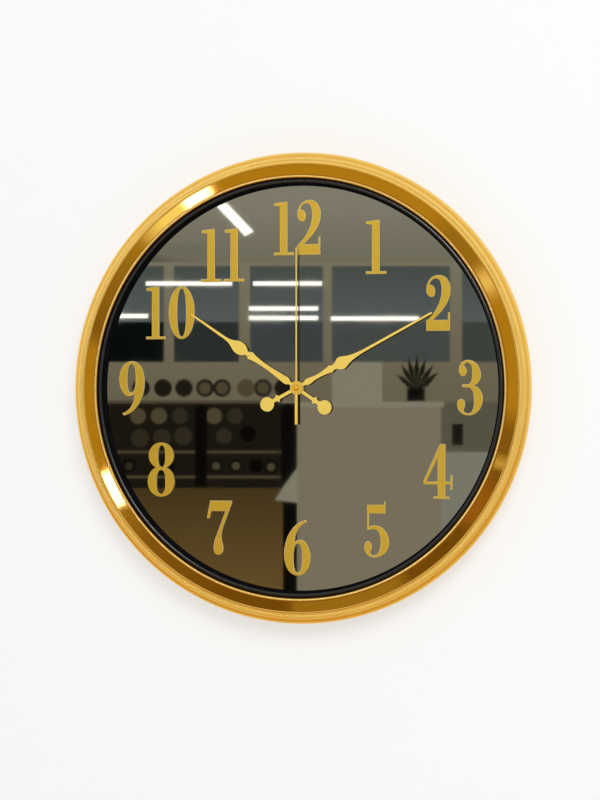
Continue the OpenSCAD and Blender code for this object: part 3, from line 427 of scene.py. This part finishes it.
def frame_runs():
    """Runs of the frame's section: side, reeds, ridge, flat polished band, lip and the inside."""
    length = math.dist(RIM, REED)
    out = ((REED[1] - RIM[1]) / length, (RIM[0] - REED[0]) / length)

    def lifted(point, by):
        return point[0] + out[0] * by, point[1] + out[1] * by

    rim_top, reed_top = lifted(RIM, BEAD - GROOVE), lifted(REED, BEAD - GROOVE)
    foot = lifted(RIDGE, RIDGE_BEAD - GROOVE / 2)
    rim_start = (RIM[0] + BEAD * math.cos(UNDERCUT), RIM[1] - BEAD * math.sin(UNDERCUT))
    rim_end = crossing(RIM, BEAD, rim_top, reed_top, last=True)
    reed_start = crossing(REED, BEAD, rim_top, reed_top, last=False)
    reed_end = crossing(REED, BEAD, reed_top, foot, last=True)
    ridge_start = crossing(RIDGE, RIDGE_BEAD, reed_top, foot, last=False)
    middle = ((RIDGE[0], FLAT), (LIP[0], FLAT))
    flat_out = crossing(RIDGE, RIDGE_BEAD, *middle, last=True)
    flat_in = crossing(LIP, LIP_BEAD, *middle, last=False)
    rim_turn = arc(RIM, BEAD, rim_start, rim_end, steps=16)
    reed_turn = arc(REED, BEAD, reed_start, reed_end, steps=18)
    ridge_turn = arc(RIDGE, RIDGE_BEAD, ridge_start, flat_out, steps=14)
    lip_turn = arc(LIP, LIP_BEAD, flat_in, (LIP_IN, LIP[1]), steps=18)
    inside = [
        (LIP_IN, LEDGE), (SPIGOT_IN, LEDGE), (SPIGOT_IN, SPIGOT_END),
        (SPIGOT_OUT, SPIGOT_END), (SPIGOT_OUT, LEDGE), *HOLLOW,
    ]
    return [
        (straight(BACK, rim_start), SATIN),
        # The grooves beside the reeds carry the painted shade
        *parted(rim_turn, (14, SATIN), (None, GROOVE_SHADE)),
        *parted(reed_turn, (1, GROOVE_SHADE), (None, SATIN)),
        # The ridge's crest carries the painted highlight
        *parted(ridge_turn, (7, EDGE), (9, CREST_HIGHLIGHT), (-1, EDGE)),
        (straight(flat_out, flat_in), POLISH),
        # The lip's crest carries the painted highlight
        *parted(lip_turn, (8, POLISH), (12, CREST_HIGHLIGHT), (None, EDGE)),
        *[([corner], SATIN) for corner in inside],
    ]


def add_post(bm, x, y, steps=32):
    """A hollow post, closed at its front end."""
    section = (
        (POST_RADIUS, POST_FRONT), (POST_RADIUS, POST_REAR),
        (POST_BORE, POST_REAR), (POST_BORE, POST_FRONT - POST_ROOF),
    )
    turn = [2 * math.pi * k / steps for k in range(steps)]
    rims = []
    for r, z in section:
        rims.append([bm.verts.new(row(x + r * math.cos(a), y + r * math.sin(a), z)) for a in turn])
    for a, b in zip(rims, rims[1:]):
        for k in range(steps):
            after = (k + 1) % steps
            bm.faces.new((a[k], a[after], b[after], b[k])).smooth = True
    bm.faces.new(rims[0])
    bm.faces.new(rims[-1])


def make_frame():
    bm = turned(frame_runs())
    for k in range(POSTS):
        a = math.radians(POST_FIRST + 360 / POSTS * k)
        add_post(bm, POST_AT * math.cos(a), POST_AT * math.sin(a))
    bmesh.ops.recalc_face_normals(bm, faces=bm.faces)
    return finish_mesh("frame_gold", bm, FRAME_LOOKS, "clock", "bezel")


# Half section of the black ring: a foot and a slope beside the mirror, a bead, and the back on the glass
RING_FOOT = [(172.0, GLASS), (172.05, 23.6), (172.3, 24.0)]
RING_SLOPE = [(172.8, 25.3), (173.35, 26.8)]
RING_BEAD, RING_BEAD_RADIUS = (175.6, 28.5), 2.1
RING_BEAD_OUT, RING_BEAD_IN = (177.595, 27.84), (173.63, 27.78)
RING_BACK = [
    (RING_BEAD_OUT[0], 27.5), (184.0, 27.5), (184.0, GLASS), (182.0, GLASS),
    (182.0, 25.6), (RING_BEAD[0], 25.6), (175.0, GLASS),
]


def make_black_ring():
    gloss, shade = range(2)
    bead_turn = arc(RING_BEAD, RING_BEAD_RADIUS, RING_BEAD_OUT, RING_BEAD_IN, steps=36)[::-1]
    runs = [
        (RING_FOOT, shade),
        (RING_SLOPE, shade),
        *parted(bead_turn, (12, shade), (None, gloss)),
        *[([corner], gloss) for corner in RING_BACK],
    ]
    looks = ["ring_black", "ring_shade"]
    return finish_mesh("ring_black", turned(runs), looks, "clock", "gasket_ring")


# Points closer than this, in metres, are one, and faces at less than this angle are one
SAME_POINT, SAME_PLANE = 2e-6, math.radians(0.4)
# Edges shade smoothly below the first angle, and are rounded above the second
SMOOTH_BELOW, ROUND_ABOVE = math.radians(32), math.radians(40)
# A normal's y on the flat front, on a face that counts as front, and the least on a side
FLAT_FRONT, FRONT, SIDE = -0.97, -0.95, -0.5


def joined(node):
    """A copy of a node's mesh with its split edges and flat triangles joined."""
    bm = bmesh.new()
    bm.from_mesh(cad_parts[node].data)
    bmesh.ops.remove_doubles(bm, verts=bm.verts, dist=SAME_POINT)
    bmesh.ops.dissolve_limit(bm, angle_limit=SAME_PLANE, verts=bm.verts, edges=bm.edges)
    return bm


def rounded(bm, edges, bevel):
    bmesh.ops.bevel(
        bm, geom=edges, offset=bevel * MM, offset_type="OFFSET", segments=2, profile=0.55, affect="EDGES",
        clamp_overlap=True, miter_outer="ARC", miter_inner="SHARP",
    )
    bm.normal_update()


def corner_angle(edge):
    return edge.calc_face_angle(0.0) if len(edge.link_faces) == 2 else math.pi


def mark_smooth(bm):
    for edge in bm.edges:
        edge.smooth = corner_angle(edge) < SMOOTH_BELOW


def front_edge(edge):
    """An edge between a front face and a side."""
    if len(edge.link_faces) != 2:
        return False
    low, high = sorted(face.normal.y for face in edge.link_faces)
    return low < FRONT and high > SIDE


def sharp_edge(edge):
    return len(edge.link_faces) == 2 and corner_angle(edge) > ROUND_ABOVE


def dressed(node, body, looks, bevel):
    """A node's shape with its front edges rounded, one look on the flat front and one on the rest."""
    bm = joined(node)
    rounded(bm, [edge for edge in bm.edges if front_edge(edge)], bevel)
    for face in bm.faces:
        front = face.normal.y < FLAT_FRONT
        face.smooth = not front
        face.material_index = 0 if front else 1
    mark_smooth(bm)
    finish_mesh(node + "_piece", bm, looks, body, node)


def softened(node, body, look, bevel):
    """A node's shape with all its sharp edges rounded."""
    bm = joined(node)
    rounded(bm, [edge for edge in bm.edges if sharp_edge(edge)], bevel)
    for face in bm.faces:
        face.smooth = True
    mark_smooth(bm)
    finish_mesh(node + "_piece", bm, [look], body, node)


# Pieces: edge radii are in mm

NUMERAL_EDGE = 0.25
# Node, body, look of the front, edge
HANDS = (
    ("hour_hand", "hours", "hand_face", 0.12),
    ("minute_hand", "minutes", "hand_face", 0.12),
    # The second hand's front has shade painted round its boss
    ("second_hand", "seconds", "boss_gold_shaded", 0.1),
)
# Node, body, slot, look, edge
SOFTENED = (
    ("back_pan", "clock", "black_plastic", "pan", 0.3),
    ("movement_case", "clock", "black_plastic", "case", 0.2),
    ("movement_cover", "clock", "black_plastic", "case", 0.25),
    ("battery", "battery_body", "cell_jacket", "jacket", 0.2),
    ("second_hand_cap", "seconds", "polished_gold", "cap_gold", 0.1),
)
PAINTED = {
    "mirror": ["mirror_dial"],
    "knob": ["set_knob"],
    "brass": ["fixing_nut", "brass_washer", "threaded_bush", "cannon_pinion"],
    "rubber": ["rubber_washer"],
    "zinc": ["case_screws"],
    "board": ["circuit_board"],
    "nickel": ["quartz_crystal", "clutch_spring", "contact_positive", "contact_negative"],
    "nylon": [
        "coil_bobbin", "rotor_pinion", "intermediate_wheel", "second_wheel", "third_wheel", "centre_wheel",
        "minute_wheel", "hour_wheel", "setting_gear",
    ],
    "copper": ["coil_winding"],
    "iron": ["coil_core", "stator"],
    "magnet": ["rotor_magnet"],
}

gold_frame = make_frame()
black_ring = make_black_ring()
for hour in range(1, 13):
    # Each numeral's edges carry the painted highlight
    dressed(f"numeral_{hour}", "clock", ["numeral_face", "numeral_edge_highlight"], NUMERAL_EDGE)
for node, body, look, bevel in HANDS:
    dressed(node, body, [look, "hand_edge"], bevel)
for node, body, slot, look, bevel in SOFTENED:
    softened(node, body, look, bevel)
for look, nodes in PAINTED.items():
    for node in nodes:
        paint(node, look)


# Camera, at the photograph's place

IMAGE = (600, 800)
LENS, SENSOR = 90.0, 36.0
AIM = Vector((0.00212, -0.023, -0.16016))
AWAY, YAW, PITCH = 1.7, math.radians(14.5), math.radians(-0.4)
TOWARDS = Vector((math.sin(YAW) * math.cos(PITCH), -math.cos(YAW) * math.cos(PITCH), math.sin(PITCH)))
camera = bpy.data.objects.new("camera", bpy.data.cameras.new("camera"))
camera.data.lens = LENS
camera.data.sensor_width = SENSOR
camera.data.clip_start = 0.05
camera.data.clip_end = 60.0
camera.location = AIM + TOWARDS * AWAY
camera.rotation_euler = (-TOWARDS).to_track_quat("-Z", "Y").to_euler()
bpy.context.scene.collection.objects.link(camera)
bpy.context.scene.camera = camera
# A picture point's size one metre before the camera, the picture's middle, and the camera's axes
PIXEL = SENSOR / LENS / IMAGE[1]
MIDDLE_X, MIDDLE_Y = IMAGE[0] / 2, IMAGE[1] / 2
AXES = camera.rotation_euler.to_matrix()

# Stage: a white wall that shows only from the front, a pale floor, and cards for the reflections

WALL_Y, WALL_SIDE, WALL_TOP = 0.0012, 6.0, 5.0
FLOOR_Z, FLOOR_SIDE = -1.25, 9.0
WALL_DARK, WALL_LIGHT = (0.958, 0.96, 0.955, 1.0), (0.97, 0.97, 0.964, 1.0)
FLOOR_TONE = (0.86, 0.86, 0.85, 1.0)
# Share of the wall and of the floor that is plain, so that shadows stay faint
WALL_PLAIN, FLOOR_PLAIN = 0.52, 0.7


def group(name, pieces):
    """A collection of pieces, for the cards that only these show."""
    made = bpy.data.collections.new(name)
    for piece in pieces:
        made.objects.link(piece)
    return made


ON_FRAME = group("on_frame", [gold_frame])
ON_RING = group("on_ring", [black_ring])
OFF_FRAME = group("off_frame", [o for o in bpy.context.scene.objects if o.type == "MESH" and o != gold_frame])


def upright(x0, x1, y, z0, z1):
    """Corners of a rectangle that faces the clock or the viewer."""
    return [(x0, y, z0), (x1, y, z0), (x1, y, z1), (x0, y, z1)]


def level(x0, x1, y0, y1, z):
    """Corners of a rectangle that lies flat."""
    return [(x0, y0, z), (x1, y0, z), (x1, y1, z), (x0, y1, z)]


def stage_mesh(name, corners, material):
    mesh = bpy.data.meshes.new(name)
    mesh.from_pydata([tuple(c) for c in corners], [], [tuple(range(len(corners)))])
    mesh.materials.append(material)
    made = bpy.data.objects.new(name, mesh)
    bpy.context.scene.collection.objects.link(made)
    return made


def wall_material():
    """White paint, part of it plain so that the shadow stays faint; clear from behind and to other rays."""
    mat, graph, surface = fresh("wall")
    grain = graph.node("TexNoise", {"Scale": 3.0}).outputs["Fac"]
    tones = graph.node("ValToRGB", {0: grain})
    tones.color_ramp.elements[0].color = WALL_DARK
    tones.color_ramp.elements[1].color = WALL_LIGHT
    shaded = graph.node("BsdfDiffuse", {"Color": tones.outputs[0]}).outputs[0]
    plain = graph.node("Emission", {"Color": tones.outputs[0]}).outputs[0]
    behind = graph.node("NewGeometry").outputs["Backfacing"]
    front = graph.maths("SUBTRACT", graph.seen(), behind, clamp=True)
    clear = graph.node("BsdfTransparent").outputs[0]
    graph.feed(surface, graph.mix(front, clear, graph.mix(WALL_PLAIN, shaded, plain)))
    return mat


def floor_material():
    """Pale paint, part of it plain where it is seen, so that it stays even."""
    mat, graph, surface = fresh("floor")
    shaded = graph.node("BsdfDiffuse", {"Color": FLOOR_TONE}).outputs[0]
    plain = graph.node("Emission", {"Color": FLOOR_TONE}).outputs[0]
    share = graph.maths("MULTIPLY", graph.seen(), FLOOR_PLAIN)
    graph.feed(surface, graph.mix(share, shaded, plain))
    return mat


def corner_light(graph):
    """Light of the colour that a card's corners carry."""
    tone = graph.node("Attribute", attribute_name="tone").outputs["Color"]
    return graph.node("Emission", {"Color": tone}).outputs[0]


def card_material():
    mat, graph, surface = fresh("card")
    mat.cycles.emission_sampling = "NONE"
    graph.feed(surface, corner_light(graph))
    return mat


def glow_material(name, sampling):
    """A card's light, added to what lies behind it. Only a strong one is sampled as a lamp is."""
    mat, graph, surface = fresh(name)
    mat.cycles.emission_sampling = sampling
    clear = graph.node("BsdfTransparent").outputs[0]
    graph.feed(surface, graph.node("AddShader", {0: corner_light(graph), 1: clear}).outputs[0])
    return mat


stage_mesh("wall", upright(-WALL_SIDE, WALL_SIDE, WALL_Y, FLOOR_Z, WALL_TOP), wall_material())
stage_mesh("floor", level(-FLOOR_SIDE, FLOOR_SIDE, -FLOOR_SIDE, FLOOR_SIDE, FLOOR_Z), floor_material())
CARD = card_material()
DIM_GLOW = glow_material("glow_dim", "NONE")
GLOW = glow_material("glow", "FRONT_BACK")


def card(name, corners, tones, only=None, material=CARD):
    """A card that only reflections see, on all pieces or only on some, with a tone at each corner."""
    made = stage_mesh(name, corners, material)
    if only:
        made.light_linking.receiver_collection = only
    layer = made.data.color_attributes.new("tone", "FLOAT_COLOR", "POINT")
    for spot, tone in zip(layer.data, tones):
        spot.color = (*tone, 1.0)
    made.visible_camera = False
    made.visible_diffuse = False
    made.visible_transmission = False
    made.visible_shadow = False


def mirrored(spot, depth):
    """Where a sight line lands, that far before the wall, after a flat front mirrors it at a spot."""
    ray = spot - camera.location
    back = Vector((ray.x, -ray.y, ray.z))
    return spot + back * ((-depth - spot.y) / back.y)


def patch(name, depth, points, tones):
    """A card that the dial shows at these picture points, that far before the wall."""
    corners = []
    for x, y in points:
        ray = AXES @ Vector(((x - MIDDLE_X) * PIXEL, (MIDDLE_Y - y) * PIXEL, -1.0))
        spot = camera.location + ray * ((-GLASS * MM - camera.location.y) / ray.y)
        corners.append(mirrored(spot, depth))
    card(name, corners, tones)


def block(name, depth, x0, y0, x1, y1, top, low):
    """A rectangle of the picture, from one tone at its top to another below."""
    patch(name, depth, ((x0, y0), (x1, y0), (x1, y1), (x0, y1)), [top, top, low, low])


def disc(name, depth, x, y, radius, tone, steps=20):
    turn = [2 * math.pi * k / steps for k in range(steps)]
    patch(name, depth, [(x + radius * math.cos(a), y + radius * math.sin(a)) for a in turn], [tone] * steps)


# Tones of the shop that the photograph's mirror shows: ceiling, windows, lamps, shelves, floor and counter
CEILING, SOFFIT, MULLION = (0.97, 0.99, 0.89), (0.72, 0.74, 0.62), (0.86, 0.87, 0.70)
PANE_TOP, PANE_LOW, PANE_DIM = (0.27, 0.36, 0.38), (0.40, 0.52, 0.60), (0.21, 0.27, 0.27)
WALL_TONE, TUBE_TONE, SHELF_SIDE = (0.62, 0.59, 0.45), (6.4, 6.8, 7.2), (0.42, 0.43, 0.34)
BOARD, DIM, DARK, BLACK = (0.32, 0.28, 0.18), (0.13, 0.115, 0.075), (0.045, 0.04, 0.03), (0.012, 0.012, 0.010)
FLOOR_FAR, FLOOR_NEAR = (0.24, 0.17, 0.065), (0.70, 0.46, 0.16)
COUNTER, COUNTER_SIDE, COUNTER_TOP = (0.84, 0.81, 0.65), (0.85, 0.94, 0.86), (0.99, 1.0, 0.88)

# The shop's parts, given in picture points, each so many metres before the wall. What covers another
# part is nearer to the clock, and the outer parts reach beyond the picture.
LEFT, RIGHT, TOP, LOW = -500, 1100, -300, 1300
# Name, metres before the wall, left, top, right and low edge, tone at the top and below
BLOCKS = (
    ("ceiling", 4.0, LEFT, TOP, RIGHT, 205, CEILING, CEILING),
    ("soffit", 3.98, LEFT, 205, RIGHT, 264, CEILING, SOFFIT),
    ("window_wall", 3.96, LEFT, 262, RIGHT, 402, MULLION, WALL_TONE),
    ("shop_floor", 3.82, LEFT, 486, 300, 640, FLOOR_FAR, FLOOR_NEAR),
    ("shelf", 3.8, 100, 403, 297, 488, DARK, DARK),
    ("box", 3.58, 332, 362, 382, 403, COUNTER_TOP, COUNTER_TOP),
    ("pot_left", 3.57, 407, 388, 425, 401, BLACK, BLACK),
    ("shelf_side", 3.56, 441, 402, RIGHT, 453, SHELF_SIDE, SHELF_SIDE),
    ("counter_side", 3.55, 441, 452, RIGHT, LOW, COUNTER_SIDE, COUNTER_SIDE),
    ("pot_right", 3.54, 452, 424, 463, 445, DARK, DARK),
    ("counter_leg", 3.52, 283, 500, 297, 600, BLACK, BLACK),
    ("counter", 3.5, 297, 406, 441, LOW, COUNTER, COUNTER),
    ("counter_top", 3.48, 297, 402, 444, 407, COUNTER_TOP, COUNTER_TOP),
)
# Name, metres before the wall, corners, and the tone at each
PATCHES = (
    ("beam", 3.97, ((110, 244), (206, 244), (206, 262), (110, 262)), [SOFFIT, SOFFIT, SOFFIT, DIM]),
    ("tube_slant", 3.9, ((216.5, 206), (226.5, 203), (253.5, 231.5), (245, 236)), [TUBE_TONE] * 4),
    ("counter_corner", 3.45, ((297, 468), (298, 503), (275, 500), (283, 487)), [COUNTER_TOP] * 4),
)
# Window panes in two halves: left, right, tone of the lower half
PANES = (
    (LEFT, 164, (0.01, 0.02, 0.02)), (174, 239, (0.10, 0.14, 0.15)), (250, 323, (0.20, 0.26, 0.32)),
    (332, 450, (0.26, 0.33, 0.36)), (462, RIGHT, PANE_DIM),
)
PANE_START, PANE_MIDDLE, PANE_END = 266, 322, 362
PANE_DEPTH, PANE_LOW_DEPTH = 3.94, 3.92
# Lamp tubes: left, right, height
TUBES = (
    (146, 232, 283.5), (253, 322, 283.5), (249, 318, 308.5), (249, 318, 318), (331, 419, 318.5),
    (118, 148, 316),
)
TUBE_HALF, TUBE_DEPTH = 2, 3.9
# The shelf's boards: height, thickness
BOARDS = ((402, 3), (452, 2.5), (477, 2.5))
BOARD_LEFT, BOARD_RIGHT, BOARD_DEPTH = 108, 281, 3.7
# The shelf's posts: left, right
SHELF_POSTS = ((195, 207), (281, 297))
SHELF_POST_TOP, SHELF_POST_LOW, SHELF_POST_DEPTH = 404, 488, 3.6
# Goods on the shelf, each a little nearer than the last: x, y, radius, tone
GOODS = (
    (141, 388, 9, DARK), (163, 388, 9, DARK), (184, 388, 9, DARK), (205, 388, 9, DARK),
    (222, 388, 9, DARK), (263, 388, 9, DARK), (283, 388, 9, DARK), (205, 388, 6, BOARD),
    (222, 388, 6, BOARD), (246, 388, 9, BOARD), (263, 388, 6, BOARD), (138, 416, 8, BOARD),
    (159, 416, 8, BOARD), (180, 416, 8, DIM), (214, 416, 8, BOARD), (235, 416, 8, DIM),
    (140, 438, 9, DIM), (162, 438, 9, DIM), (183, 436, 9, DIM), (224, 436, 8, DIM),
    (248, 434, 8, BLACK), (129, 466, 7, BLACK), (129, 466, 4, DIM), (168, 466, 7, BLACK),
    (216, 466, 7, BLACK), (216, 466, 4, BOARD), (236, 466, 7, BLACK), (236, 466, 4, BOARD),
    (256, 466, 7, BLACK), (271, 467, 7, BLACK), (271, 467, 4, BOARD),
)
GOODS_DEPTH = 3.72
# A plant's leaves: their foot, half width, share of the length where they are widest, and tips
STEM, LEAF_HALF, LEAF_WIDEST, LEAF_DEPTH = Vector((416, 390)), 2.6, 1.6 / 2.6, 3.53
LEAF_TIPS = (
    (396, 374), (401, 364), (408, 357), (417, 355), (426, 358), (434, 364), (439, 372), (433, 380),
    (403, 381),
)
# From one of the goods or leaves to the next, in metres
NEARER = 0.002

for part in BLOCKS:
    block(*part)
for part in PATCHES:
    patch(*part)
for k, (x0, x1, tone) in enumerate(PANES):
    block(f"pane_{k}", PANE_DEPTH, x0, PANE_START, x1, PANE_MIDDLE, PANE_TOP, PANE_LOW)
    block(f"pane_low_{k}", PANE_LOW_DEPTH, x0, PANE_MIDDLE, x1, PANE_END, tone, tone)
for k, (x0, x1, y) in enumerate(TUBES):
    block(f"tube_{k}", TUBE_DEPTH, x0, y - TUBE_HALF, x1, y + TUBE_HALF, TUBE_TONE, TUBE_TONE)
for k, (y, thick) in enumerate(BOARDS):
    block(f"board_{k}", BOARD_DEPTH, BOARD_LEFT, y - thick / 2, BOARD_RIGHT, y + thick / 2, BOARD, BOARD)
for k, (x0, x1) in enumerate(SHELF_POSTS):
    block(f"shelf_post_{k}", SHELF_POST_DEPTH, x0, SHELF_POST_TOP, x1, SHELF_POST_LOW, BLACK, BLACK)
for k, (x, y, radius, tone) in enumerate(GOODS):
    disc(f"disc_{k}", GOODS_DEPTH - NEARER * k, x, y, radius, tone)
for k, tip in enumerate(map(Vector, LEAF_TIPS)):
    length = tip - STEM
    side = Vector((length.y, -length.x)).normalized() * LEAF_HALF
    widest = STEM + length * LEAF_WIDEST
    patch(f"leaf_{k}", LEAF_DEPTH - NEARER * k, (STEM, widest + side, tip, widest - side), [DARK] * 4)

# The room's tones at the right, by picture height
ROOM = (
    (205, CEILING), (262, SOFFIT), (266, PANE_TOP), (322, PANE_LOW), (324, PANE_DIM), (360, PANE_DIM),
    (364, WALL_TONE), (401, WALL_TONE), (403, SHELF_SIDE), (452, SHELF_SIDE), (454, COUNTER_SIDE),
)
# What the polished band shows beyond the mirror's edge, by clock angle
AMBER, TAN, UMBER = (0.90, 0.90, 0.25), (0.66, 0.68, 0.3), (0.46, 0.44, 0.2)
BROWN, RUST, PALE = (0.34, 0.30, 0.1), (0.62, 0.45, 0.2), (1.3, 1.55, 1.6)
BAND = (
    (0, AMBER), (40, AMBER), (46, TAN), (56, TAN), (60, PALE), (64, PALE), (68, AMBER), (95, AMBER),
    (101, UMBER), (107, UMBER), (110, PALE), (112, BROWN), (119, RUST), (126, RUST), (130, BROWN),
    (147, BROWN), (152, TAN), (180, TAN), (182, BROWN), (200, BROWN), (224, UMBER), (236, TAN),
    (247, AMBER), (280, AMBER), (286, UMBER), (306, TAN), (316, AMBER), (360, AMBER),
)
# White lamps that the band shows, some of them fading: first angle, last angle, and the tone at each
NONE, SLIGHT, FAINT, GLARE = (0.0, 0.0, 0.0), (0.5, 0.9, 2.5), (1.2, 2.2, 4.5), (14.0, 18.0, 46.0)
GLARES = (
    (237, 247, GLARE, GLARE), (328, 336, GLARE, GLARE), (320, 328, FAINT, FAINT), (312, 320, NONE, FAINT),
    (58, 62, NONE, SLIGHT), (62, 66, SLIGHT, NONE),
)
# Metres before the wall, and the radii on the band, in mm, that the cards reach
BAND_DEPTH, BAND_RADII = 3.3, (176.5, 214.0)
GLARE_DEPTH, GLARE_RADII = 3.28, (177.5, 196.0)
# From a band card to the card behind it
BEHIND = Vector((0.0, -0.01, 0.0))


def blended(a, b, share):
    return [c + (d - c) * share for c, d in zip(a, b)]


def room_tone(spot):
    """The room's tone at the picture height of a spot."""
    local = AXES.transposed() @ (spot - camera.location)
    y = MIDDLE_Y + local.y / local.z / PIXEL
    for (low, before), (high, after) in zip(ROOM, ROOM[1:]):
        if y < high:
            return blended(before, after, max(0.0, (y - low) / (high - low)))
    return ROOM[-1][1]


def strip(start, end, radii, steps=6):
    """Spots round the flat band between two clock angles, and each one's share of the way."""
    spots, shares = [], []
    for radius, order in zip(radii, (range(steps + 1), range(steps, -1, -1))):
        for k in order:
            a = math.radians(start + (end - start) * k / steps)
            spots.append(row(radius * math.sin(a), radius * math.cos(a), FLAT))
            shares.append(k / steps)
    return spots, shares


for k, ((start, before), (end, after)) in enumerate(zip(BAND, BAND[1:])):
    spots, shares = strip(start, end, BAND_RADII)
    corners = [mirrored(spot, BAND_DEPTH) for spot in spots]
    card(f"band_{k}", corners, [blended(before, after, share) for share in shares], ON_FRAME, DIM_GLOW)
    # Other pieces show the room there
    card(f"band_back_{k}", [c + BEHIND for c in corners], [room_tone(spot) for spot in spots], OFF_FRAME)
for k, (start, end, before, after) in enumerate(GLARES):
    spots, shares = strip(start, end, GLARE_RADII)
    corners = [mirrored(spot, GLARE_DEPTH) for spot in spots]
    card(f"glare_{k}", corners, [blended(before, after, share) for share in shares], ON_FRAME, GLOW)

# A lamp over the camera that draws a line on the black bead, and the brown floor that the metal shows
RING_LAMP, RING_LAMP_TONE = upright(-0.1, 0.8, -3.0, 0.45, 1.35), (17.0, 17.0, 17.0)
FLOOR_PATCH, FLOOR_PATCH_TONE = level(-4.0, 4.0, -6.0, 4.0, -1.24), (0.75, 0.58, 0.3)
card("lamp_on_ring", RING_LAMP, [RING_LAMP_TONE] * 4, ON_RING, GLOW)
card("floor_patch", FLOOR_PATCH, [FLOOR_PATCH_TONE] * 4)

# Light

LAMP_SIDE = 1.4
DIAL = row(0.0, 0.0, 0.0)


def lamp(name, place, power, gloss):
    """A soft square lamp that points at the dial."""
    light = bpy.data.lights.new(name, "AREA")
    light.shape = "RECTANGLE"
    light.size = LAMP_SIDE
    light.size_y = LAMP_SIDE
    light.energy = power
    made = bpy.data.objects.new(name, light)
    made.location = place
    made.rotation_euler = (DIAL - Vector(place)).to_track_quat("-Z", "Y").to_euler()
    made.visible_glossy = gloss
    bpy.context.scene.collection.objects.link(made)


lamp("key", (1.0, -2.6, 1.1), power=44.0, gloss=False)
lamp("back", (-1.3, 2.4, 1.0), power=26.0, gloss=True)

world = bpy.data.worlds.new("world")
bpy.context.scene.world = world
world.use_nodes = True
world.node_tree.nodes.clear()
sky = Graph(world.node_tree)
soft = sky.node("Background", {"Color": (1.0, 1.0, 1.0, 1.0), "Strength": 0.55}).outputs[0]
white = sky.node("Background", {"Color": (0.97, 0.97, 0.965, 1.0), "Strength": 1.0}).outputs[0]
sky.feed(sky.node("OutputWorld").inputs["Surface"], sky.mix(sky.seen(), soft, white))

bpy.context.scene.view_settings.view_transform = "Standard"
